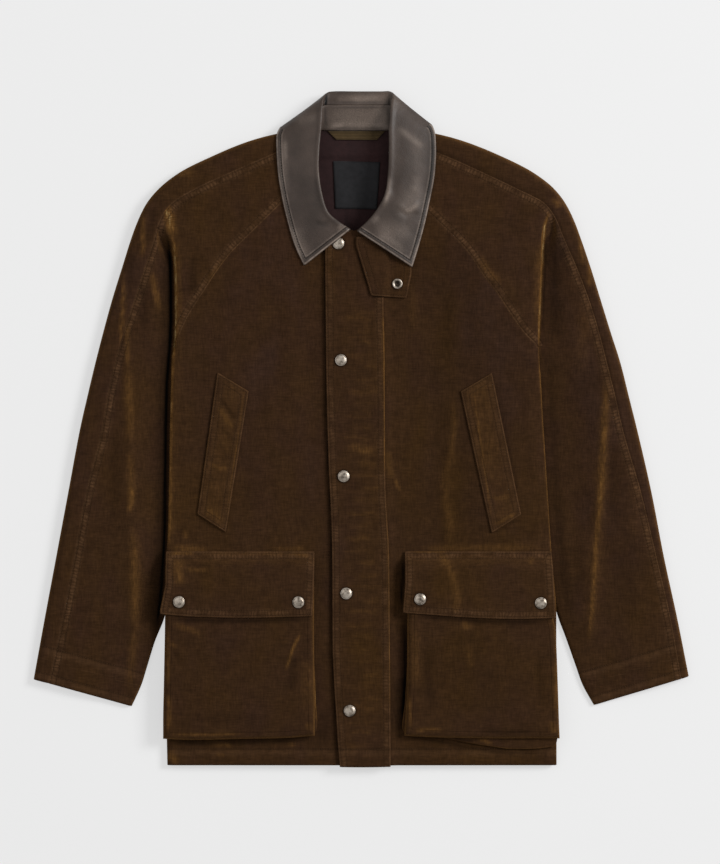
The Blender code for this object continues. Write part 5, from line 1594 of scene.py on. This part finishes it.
def latch_seam():
    left = [(at(LATCH_LEFT, y), y) for y in (248, 240, 222, 204, 188, 173)]
    right = [(at(LATCH_RIGHT, y), y - 3 * (y < 180)) for y in (173, 188, 204, 222, 240, 248)]
    return Seam([*left, *right, left[0]], (28, 205))


def build_latch():
    grid = []
    for y in levels(248, 173, 2.5):
        left, right = at(LATCH_LEFT, y), at(LATCH_RIGHT, y)
        xs = np.linspace(left, right, 34)
        ys = y - 3 * ease((188 - y) / 15) * (xs - left) / (right - left)
        grid.append(np.stack([xs, ys, latch_z(xs, ys)], axis=-1))
    cloth_shell("throat_latch", np.array(grid), LATCH, seams=[latch_seam()])


def welt_ring(side):
    corners = [(side.sign * out, y) for out, y in WELTS[side.name]]
    if side.sign > 0:
        return corners[1], corners[0], corners[2], corners[3]
    return corners[0], corners[1], corners[3], corners[2]


def closed_seam(corners):
    return Seam([*corners, corners[0]], tuple(np.mean(corners, axis=0)))


def build_welt(side):
    ring = welt_ring(side)
    grid = with_height(between(ring, 26, 110),
                       lambda x, y: body_z(side, np.abs(x), y) + GAP + DOUBLED)
    cloth_shell(f"welt_{side.name}", grid, DOUBLED, seams=[closed_seam(ring)], ribs=0.3)


def side_at(rows, y, column):
    return at([(row[0], row[column]) for row in rows], y)


def patch_point(pocket, share, v):
    """A point of a patch in plan: share 0 at its side, 1 at its front; v 0 at the mouth."""
    y = mix(PATCH_TOP_Y, PATCH_FOOT_Y, v)
    out = mix(side_at(pocket.patch_sides, y, 1), side_at(pocket.patch_sides, y, 2), share)
    return out, y + ease((v - 0.5) / 0.5) * (at(pocket.patch_bottom, out) - PATCH_FOOT_Y)


def build_pocket(pocket):
    """The patch, with its sides and bottom turned down towards the front."""
    share, v = np.meshgrid(even_ends(96), even_ends(104, one_end=True))
    out, y = patch_point(pocket, share, v)
    width = np.abs(side_at(pocket.patch_sides, y, 1) - side_at(pocket.patch_sides, y, 2))
    from_edge = np.minimum(np.minimum(share, 1 - share) * width, (1 - v) * (PATCH_TOP_Y - PATCH_FOOT_Y))
    height = mix(0.5, 1.0, rounding(from_edge, 7.5))
    z = mix(panel_z(out, y), pocket_z(out, y), height)
    grid = np.stack([pocket.sign * out, y, z], axis=-1)
    cloth_shell(f"pocket_{pocket.name}", grid, CLOTH, pocket.sign > 0, seams=[patch_seam(pocket)])


def even_ends(count, one_end=False):
    """Shares from 0 to 1, closer together near 1, and near 0 unless it's one end only."""
    t = np.linspace(0, 1, count)
    if one_end:
        return np.sin(t * math.pi / 2) * 0.25 + t * 0.75
    return (1 - np.cos(t * math.pi)) / 2 * 0.35 + t * 0.65


def patch_seam(pocket):
    """Down one side of a patch, along its bottom and up the other side."""
    shares = [(0.0, v) for v in np.linspace(0, 1, 12)] + [(s, 1.0) for s in np.linspace(0, 1, 12)[1:]]
    shares += [(1.0, v) for v in np.linspace(1, 0, 12)[1:]]
    places = [patch_point(pocket, share, v) for share, v in shares]
    return Seam([(pocket.sign * out, y) for out, y in places], (pocket.sign * 160, -300))


def build_gusset(pocket):
    """The bellows strip round the sides and bottom of a pocket, between patch and front."""
    sides = (0.06, 0.2, 0.4, 0.6, 0.8, 0.97)
    path = [(0.012, v) for v in sides]
    path += [(share, 0.985) for share in (0.03, 0.07, 0.14, 0.22, 0.33, 0.44, 0.56, 0.68, 0.8, 0.9, 0.96)]
    path += [(0.988, v) for v in sides[::-1]]
    rows = []
    for share, v in path:
        out, y = patch_point(pocket, share, v)
        base = panel_z(out, y)
        low = base + GUSSET_GAP
        high = mix(base, pocket_z(out, y), 0.5) - CLOTH - 2 * GAP
        out_by, down_by = 0.0, 0.0
        if share < 0.02:
            out_by = 0.8
        elif share > 0.98:
            out_by = -4.0 * ease((v - 0.3) / 0.5)
        else:
            down_by = at(pocket.sag, out)
        rows.append([
            (pocket.sign * (out - 0.4), y, high),
            (pocket.sign * (out + out_by * 0.8), y - down_by, mix(low, high, 0.75)),
            (pocket.sign * (out + out_by), y - down_by, mix(low, high, 0.4)),
            (pocket.sign * (out - 0.4), y, low),
        ])
    cloth_shell(f"gusset_{pocket.name}", refined(rows, 2.5), GUSSET, pocket.sign < 0)


def flap_place(pocket, share, v):
    low_y = min(y for _, y in pocket.flap_bottom)
    y = mix(FLAP_TOP_Y, low_y, v)
    out = mix(side_at(pocket.flap_sides, y, 1), side_at(pocket.flap_sides, y, 2), share)
    return out, mix(FLAP_TOP_Y, at(pocket.flap_bottom, out), v)


def flap_seam(pocket):
    shares = [(0, 0), (0, 0.5), (0, 1), (0.25, 1), (0.5, 1), (0.75, 1), (1, 1), (1, 0.5), (1, 0)]
    places = [flap_place(pocket, share, v) for share, v in shares]
    return closed_seam([(pocket.sign * out, y) for out, y in places])


def build_flap(pocket):
    share, v = np.meshgrid(np.linspace(0, 1, 96), np.linspace(0, 1, 44))
    out, y = flap_place(pocket, share, v)
    z = panel_z(out, y) + FLAP_GAP + DOUBLED + POCKET_RISE * ease((-158 - y) / 26)
    grid = np.stack([pocket.sign * out, y, z], axis=-1)
    cloth_shell(f"flap_{pocket.name}", grid, DOUBLED, pocket.sign > 0, seams=[flap_seam(pocket)], ribs=0.8)


# ---- stitches ------------------------------------------------------------------------------

# Along, and above the cloth, on one stitch; and the corners of its thread's section.
STITCH_ARC = ((-0.5, -0.25), (-0.3, 0.18), (0.3, 0.18), (0.5, -0.25))
THREAD_SECTION = ((0.24, 0.0), (0.0, 0.2), (-0.24, 0.0), (0.0, -0.2))
surfaces = {}


def surface_of(name):
    if name not in surfaces:
        cloth_points, quads = cloths[name].points, cloths[name].quads
        surfaces[name] = BVHTree.FromPolygons(cloth_points.tolist(), quads.tolist())
    return surfaces[name]


def on_surface(name, places):
    """Points and normals of the highest face of a piece under each place; None where it has none."""
    tree = surface_of(name)
    found = []
    for x, y in places:
        point, normal, _, _ = tree.ray_cast(Vector((x, y, 100)), Vector((0, 0, -1)))
        found.append(None if point is None or normal.z < 0.05 else (np.array(point), np.array(normal)))
    return found


def stitch_rows(name, rows, material, pitch=STITCH, length=STITCH_LENGTH):
    """Threads lying on a piece along rows, as one mesh, which goes with that piece."""
    points, faces = [], []
    for row in rows:
        places, _, directions = sampled(row, pitch)
        for spot, (dx, dy) in zip(on_surface(name, places), directions):
            if spot is None:
                continue
            centre, normal = spot
            forward = unit(np.array((dx, dy, 0)) - normal * (dx * normal[0] + dy * normal[1]))
            sideways = np.cross(normal, forward)
            base = len(points)
            for ahead, above in STITCH_ARC:
                middle_point = centre + forward * ahead * length + normal * above
                points += [middle_point + sideways * a + normal * b for a, b in THREAD_SECTION]
            size = len(THREAD_SECTION)
            for ring in range(len(STITCH_ARC) - 1):
                for k in range(size):
                    first, second = base + ring * size + k, base + ring * size + (k + 1) % size
                    faces.append((first, second, second + size, first + size))
            last = base + size * (len(STITCH_ARC) - 1)
            faces += [tuple(base + k for k in range(size - 1, -1, -1)),
                      tuple(last + k for k in range(size))]
    return add_piece(f"stitches_{name}", np.array(points), faces, material)


# ---- snaps ---------------------------------------------------------------------------------

LATHE_SEGMENTS = 40


def lathe(name, profile, centre, nodes, material):
    """A body turned about +Z from (radius, height) points, in millimetres."""
    angles = np.linspace(0, 2 * math.pi, LATHE_SEGMENTS, endpoint=False)
    points, rings = [], []
    for radius, height in profile:
        if radius < 0.01:
            rings.append([len(points)] * LATHE_SEGMENTS)
            points.append((centre[0], centre[1], centre[2] + height))
        else:
            rings.append(list(range(len(points), len(points) + LATHE_SEGMENTS)))
            points += [(centre[0] + radius * math.cos(a), centre[1] + radius * math.sin(a),
                        centre[2] + height) for a in angles]
    faces = []
    for lower, upper in zip(rings, rings[1:]):
        for k in range(LATHE_SEGMENTS):
            ring = (lower[k], lower[(k + 1) % LATHE_SEGMENTS], upper[(k + 1) % LATHE_SEGMENTS], upper[k])
            faces.append(tuple(dict.fromkeys(ring)))
    piece = add_piece(f"{name}_metal", np.array(points), faces, material)
    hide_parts(*nodes)
    return piece


def build_snap_cap(node):
    """A domed cap with a rolled rim."""
    low, high = cad(node)
    x, y, _ = (low + high) / 2
    r, h = (high[0] - low[0]) / 2, high[2] - low[2]
    profile = [(0, 0), (0.86 * r, 0), (0.96 * r, 0.06 * h), (r, 0.22 * h), (0.985 * r, 0.36 * h),
               (0.93 * r, 0.45 * h), (0.885 * r, 0.455 * h), (0.86 * r, 0.47 * h)]
    profile += [(0.86 * r * math.cos(t), 0.47 * h + 0.53 * h * math.sin(t))
                for t in np.linspace(0.12, math.pi / 2 - 0.001, 9)]
    return lathe(node, profile[:-1] + [(0, h)], (x, y, low[2]), [node], nickel)


def build_socket():
    """The open ring that the latch's stud goes into, with its two spring wires."""
    low, high = cad("latch_snap")
    x, y, _ = (low + high) / 2
    r, h = (high[0] - low[0]) / 2, high[2] - low[2]
    profile = [(0.50 * r, 0.1 * h), (0.53 * r, 0), (0.94 * r, 0), (r, 0.15 * h), (r, 0.4 * h)]
    profile += [((0.80 + 0.2 * math.cos(t)) * r, (0.5 + 0.5 * math.sin(t)) * h)
                for t in np.linspace(0, math.pi, 10)]
    profile += [(0.56 * r, 0.45 * h), (0.51 * r, 0.3 * h), (0.50 * r, 0.1 * h)]
    ring = lathe("latch_snap", profile, (x, y, low[2]), ["latch_snap"], nickel)
    # The floor disc and the springs are in the darker nickel: painted shade inside the socket.
    floor_disc = [(0, 0), (0.55 * r, 0), (0.55 * r, 0.06 * h), (0.2 * r, 0.1 * h), (0, 0.1 * h)]
    lathe("latch_snap_floor", floor_disc, (x, y, low[2] - 0.1), [], shaded_nickel)
    points, faces = [], []
    for sign in (-1, 1):
        wire = [(x + sign * (0.30 * r - 0.9 * (k / 5 - 1) ** 2), y + 0.42 * r * (k / 5 - 1),
                 low[2] + 0.55 * h) for k in range(11)]
        base = len(points)
        for px, py, pz in wire:
            points += [(px + 0.35 * a, py, pz + 0.35 * b) for a, b in ((1, 0), (0, 1), (-1, 0), (0, -1))]
        for ring_number in range(10):
            for k in range(4):
                first, second = base + 4 * ring_number + k, base + 4 * ring_number + (k + 1) % 4
                faces.append((first, first + 4, second + 4, second))
        faces += [(base, base + 1, base + 2, base + 3), (base + 43, base + 42, base + 41, base + 40)]
    add_piece("latch_snap_springs", np.array(points), faces, shaded_nickel)
    return ring


# ---- the jacket ----------------------------------------------------------------------------

LEATHER_DENTS = [
    Stroke(-0.9, 3, [(-62, 268), (-50, 264), (-38, 267)]),
    Stroke(-0.5, 9, [(-84, 350), (-80, 300), (-74, 262)]),
    Stroke(0.6, 8, [(70, 330), (74, 290), (66, 250)]),
    Stroke(-1.5, 4, [(48, 284), (60, 276), (76, 280)]),
    Stroke(1.4, 4, [(44, 290), (58, 284), (78, 295)]),
    Stroke(1.0, 4, [(38, 312), (34, 298), (26, 286)]),
    Stroke(-0.6, 5, [(44, 262), (34, 252), (22, 246)]),
    Stroke(-0.6, 5, [(46, 330), (42, 312), (44, 296)]),
]
LEATHER_SHADE = [
    Stroke(0.23, 34, [(62, 440), (68, 330), (50, 200)]),
    Stroke(0.18, 10, [(-58, 330), (-54, 285), (-58, 262), (-40, 244)]),
    Stroke(0.3, 7, [(94, 400), (92, 340), (84, 280)]),
    Stroke(0.05, 34, [(-76, 400), (-84, 330), (-70, 262)]),
    Stroke(0.3, 4, [(-62, 267), (-50, 264), (-40, 266)]),
    Stroke(0.35, 3, [(-38, 271), (-31, 269), (-24, 266)]),
    Stroke(0.16, 12, [(-76, 330), (-70, 290), (-62, 250)]),
    Stroke(0.7, 1.4, [(-45, 388), (-46.5, 410), (-45, 428), (-42, 437)]),
    Stroke(0.7, 1.8, [(-49, 400), (-46.5, 418), (-44, 442)]),
    Stroke(0.7, 1.6, [(36, 388), (35.5, 410), (37, 437)]),
    Stroke(0.3, 2.2, [(-42, 437.5), (0, 437), (37, 437.5)]),
    Stroke(0.35, 1.2, [(-44, 423.5), (0, 423.5), (36, 423.5)]),
]
# Painted highlights on the leather's gloss, rolls, creases and edges.
LEATHER_HIGHLIGHTS = [
    Stroke(0.3, 1.5, [(-106, 366), (-105.5, 345), (-101.5, 310), (-93.5, 275), (-84, 240), (-77, 218)]),
    Stroke(0.14, 10, [(-26, 431), (10, 431), (60, 430)]),
    Stroke(0.3, 3.0, [(38, 330), (36, 312), (33, 298), (28, 284)]),
    Stroke(0.25, 2.4, [(37, 308), (34, 300), (31, 294)]),
    Stroke(0.16, 4, [(24, 276), (14, 266)]),
    Stroke(0.4, 2.6, [(52, 281), (64, 283), (78, 293)]),
    Stroke(0.3, 4, [(46, 392), (66, 376), (84, 362)]),
    Stroke(0.18, 6, [(66, 306), (72, 316), (74, 330)]),
    Stroke(0.2, 5, [(60, 226), (44, 240), (20, 254)]),
    Stroke(0.3, 1.6, [(66, 216), (70, 224), (74, 240)]),
    Stroke(0.3, 1.6, [(-76, 218), (-84, 240), (-90, 262)]),
    Stroke(0.12, 9, [(70, 390), (72, 350), (76, 320)]),
    Stroke(0.2, 5, [(-101, 388), (-101, 355), (-99, 320), (-95, 296)]),
    Stroke(0.14, 8, [(-90, 400), (-70, 402), (-52, 404)]),
    Stroke(0.2, 8, [(-90, 266), (-80, 240), (-70, 214)]),
    Stroke(0.25, 11, [(78, 318), (66, 296), (48, 270)]),
    Stroke(0.22, 12, [(14, 258), (44, 254), (72, 256)]),
    Stroke(0.22, 2.2, [(-98, 376), (-98, 360), (-97, 345)]),
    Stroke(0.3, 3, [(-30, 264), (-26, 259), (-24, 254)]),
    Stroke(0.2, 2, [(-56, 345), (-54, 325), (-50, 305), (-43, 286), (-36, 275)]),
    Stroke(0.14, 4, [(-34, 428), (-16, 429), (0, 427)]),
    Stroke(0.2, 5, [(-14, 427), (10, 428), (32, 430)]),
]
STAND_SHADE = [
    Stroke(0.6, 1.3, [(-46, 390), (0, 389.5), (36, 390)]),
    Stroke(0.8, 1.4, [(-44, 385.3), (0, 385), (36, 385.3)]),
    Stroke(0.5, 2.0, [(-45, 388), (-46.5, 410), (-46, 420)]),
    Stroke(0.45, 1.6, [(36, 388), (35.5, 410), (36, 420)]),
    Stroke(0.35, 1.0, [(-44, 417), (0, 417), (36, 417)]),
]
# Painted highlights on the stand, and along its seam.
STAND_HIGHLIGHTS = [
    Stroke(0.3, 3.0, [(-42, 391), (-33, 394), (-20, 395)]),
    Stroke(0.3, 3.0, [(14, 394), (26, 394), (38, 392)]),
    Stroke(0.35, 1.0, [(-44, 387.2), (0, 387), (36, 387.2)]),
    Stroke(0.14, 5, [(-30, 396), (0, 394), (30, 397)]),
    Stroke(0.24, 20, [(-60, 402), (0, 403), (60, 402)]),
    Stroke(0.2, 7, [(26, 392), (27, 404), (26, 420)]),
]
LINING_SHADE = [
    Stroke(0.5, 1.6, [(-18, 298), (-19, 262), (-20, 225)]),
    Stroke(0.3, 7, [(-62, 390), (-64, 320), (-60, 260)]),
    Stroke(0.45, 6, [(48, 390), (42, 320), (24, 270)]),
    # A negative amount is painted light: this stroke lightens the lining's right side, in the leaf's shadow.
    Stroke(-0.45, 12, [(18, 396), (19, 330), (10, 280)]),
    Stroke(0.5, 5, [(-62, 386), (-10, 386), (48, 386)]),
]


def double_rows(seam):
    return [offset_path(seam.path, row, seam.inside) for row in SEAM_ROWS]


def thread_on(name, rows):
    """Rows of stitches on one piece of the cloth."""
    return stitch_rows(name, rows, cloth_thread)


def build_stitches():
    """The rows of thread that show, piece by piece: {piece: its stitches}."""
    found = {}
    hem_y = HEM_Y + HEM_DEPTH
    for side in SIDES:
        cuffs = [seam.path for seam in cuff_lines(side)]
        hem = across_hem(hem_y, side.sign * 22, side.sign * (at(side.fold, hem_y) - 1))
        raglan = raglan_seam(side)
        raglan = Seam(raglan.path[:-4], raglan.inside)
        rows = {f"sleeve_front_{side.name}": double_rows(raglan) + double_rows(over_arm_seam(side)),
                f"sleeve_back_{side.name}": cuffs,
                f"front_{side.name}": [hem.path],
                f"welt_{side.name}": double_rows(closed_seam(welt_ring(side)))}
        rows[f"sleeve_front_{side.name}"] += cuffs
        for name, paths in rows.items():
            found[name] = thread_on(name, paths)
    hem = across_hem(hem_y, at(PLACKET_EDGE, hem_y) + 1, at(PLACKET_SEAM, hem_y))
    rows = [row for seam in placket_edges() for row in double_rows(seam)]
    found["placket"] = thread_on("placket", [*rows, hem.path])
    found["throat_latch"] = thread_on("throat_latch", double_rows(latch_seam()))
    for pocket in POCKETS:
        name = f"pocket_{pocket.name}"
        seam = patch_seam(pocket)
        found[name] = thread_on(name, [offset_path(seam.path, 2.2, seam.inside)])
        name = f"flap_{pocket.name}"
        found[name] = thread_on(name, double_rows(flap_seam(pocket)))
    rows = [offset_path(seam.path, STITCHED_IN, seam.inside) for seam in leaf_edges(collar_grid())]
    found["collar_fall"] = stitch_rows("collar_fall", rows, leather_thread, 3.6, 2.7)
    return found


def declare_sheets(stitches):
    """Lists which pieces each piece of cloth lies on, and does nothing further with the list."""
    under = {"back": ["collar_fall"], "lining": ["back"], "label": ["lining"], "hanger_loop": ["lining"],
             "placket": ["front_left"], "throat_latch": ["placket", "front_left"],
             "collar_stand": ["back"], "collar_fall": ["front_right", "front_left"]}
    for side in SIDES:
        n = side.name
        under |= {f"front_{n}": ["back"], f"sleeve_front_{n}": [f"sleeve_back_{n}"],
                  f"sleeve_back_{n}": ["back"], f"welt_{n}": [f"front_{n}"],
                  f"pocket_{n}": [f"gusset_{n}"], f"gusset_{n}": [f"front_{n}"],
                  f"flap_{n}": [f"pocket_{n}"]}


build_back()
build_front(RIGHT, inner_right, right_z)
build_front(LEFT, inner_left, lap_z)
build_placket()
for side in SIDES:
    build_sleeve(side)
    build_welt(side)
for pocket in POCKETS:
    build_pocket(pocket)
    build_gusset(pocket)
    build_flap(pocket)
build_collar()
build_neck()
build_latch()
for cap in SNAP_CAPS:
    build_snap_cap(cap)
build_socket()
declare_sheets(build_stitches())


# ---- camera, light and floor, in metres ----------------------------------------------------

FLOOR_GREY = (*linear(237, 237, 237), 1.0)
PLAIN_SHARE = 0.66      # how much of the floor's own grey the camera sees, against lit floor
FLOOR_REACH = 6.0
FLOOR_DROP = 0.0006
LENS = 180
SHOWN_CENTRE = (-1.3 * MM, -4.55 * MM)
SHOWN_HEIGHT = 1.1232
CAMERA_DISTANCE = 5.6
MEAN_HEIGHT = 12 * MM   # of the jacket's upper face, which the distance is measured from
WORLD_STRENGTH = 0.42
# Name, place, size and power of each lamp. Each points at the origin.
LAMPS = (("key", (5.0, 2.1, 3.95), 2.2, 385), ("fill", (-1.2, 0.5, 2.2), 2.0, 8))


def floor_look():
    """Pale floor that shows the camera its own plain grey, and keeps some of the shadow."""
    material = bpy.data.materials.new("floor")
    material.use_nodes = True
    tree = material.node_tree
    shader = tree.nodes["Principled BSDF"]
    shader.inputs["Base Color"].default_value = FLOOR_GREY
    shader.inputs["Roughness"].default_value = 1.0
    shader.inputs["Specular IOR Level"].default_value = 0.0
    plain = tree.nodes.new("ShaderNodeEmission")
    plain.inputs["Color"].default_value = FLOOR_GREY
    path = tree.nodes.new("ShaderNodeLightPath")
    seen = tree.nodes.new("ShaderNodeMath")
    seen.operation = "MULTIPLY"
    seen.inputs[1].default_value = PLAIN_SHARE
    tree.links.new(path.outputs["Is Camera Ray"], seen.inputs[0])
    blend = tree.nodes.new("ShaderNodeMixShader")
    tree.links.new(seen.outputs[0], blend.inputs[0])
    tree.links.new(shader.outputs[0], blend.inputs[1])
    tree.links.new(plain.outputs[0], blend.inputs[2])
    tree.links.new(blend.outputs[0], tree.nodes["Material Output"].inputs["Surface"])
    return material


def add_floor():
    mesh = bpy.data.meshes.new("floor")
    corners = [(x * FLOOR_REACH, y * FLOOR_REACH, -FLOOR_DROP)
               for x, y in ((-1, -1), (1, -1), (1, 1), (-1, 1))]
    mesh.from_pydata(corners, [], [(0, 1, 2, 3)])
    mesh.materials.append(floor_look())
    floor = bpy.data.objects.new("floor", mesh)
    bpy.context.scene.collection.objects.link(floor)


def add_area_light(name, place, size, power):
    light = bpy.data.lights.new(name, "AREA")
    light.shape = "SQUARE"
    light.size = size
    light.energy = power
    lamp = bpy.data.objects.new(name, light)
    lamp.location = place
    lamp.rotation_euler = (-Vector(place)).to_track_quat("-Z", "Y").to_euler()
    bpy.context.scene.collection.objects.link(lamp)


def add_camera():
    """Straight above the jacket, far enough off that nothing leans."""
    data = bpy.data.cameras.new("camera")
    data.lens = LENS
    data.sensor_fit = "VERTICAL"
    data.sensor_height = LENS * SHOWN_HEIGHT / CAMERA_DISTANCE
    data.clip_end = 100
    camera = bpy.data.objects.new("camera", data)
    camera.location = (*SHOWN_CENTRE, CAMERA_DISTANCE + MEAN_HEIGHT)
    bpy.context.scene.collection.objects.link(camera)
    bpy.context.scene.camera = camera


add_floor()
add_camera()
for lamp in LAMPS:
    add_area_light(*lamp)
world = bpy.data.worlds.new("studio")
world.use_nodes = True
world.node_tree.nodes["Background"].inputs["Color"].default_value = (1, 1, 1, 1)
world.node_tree.nodes["Background"].inputs["Strength"].default_value = WORLD_STRENGTH
bpy.context.scene.world = world
bpy.context.scene.view_settings.view_transform = "Standard"
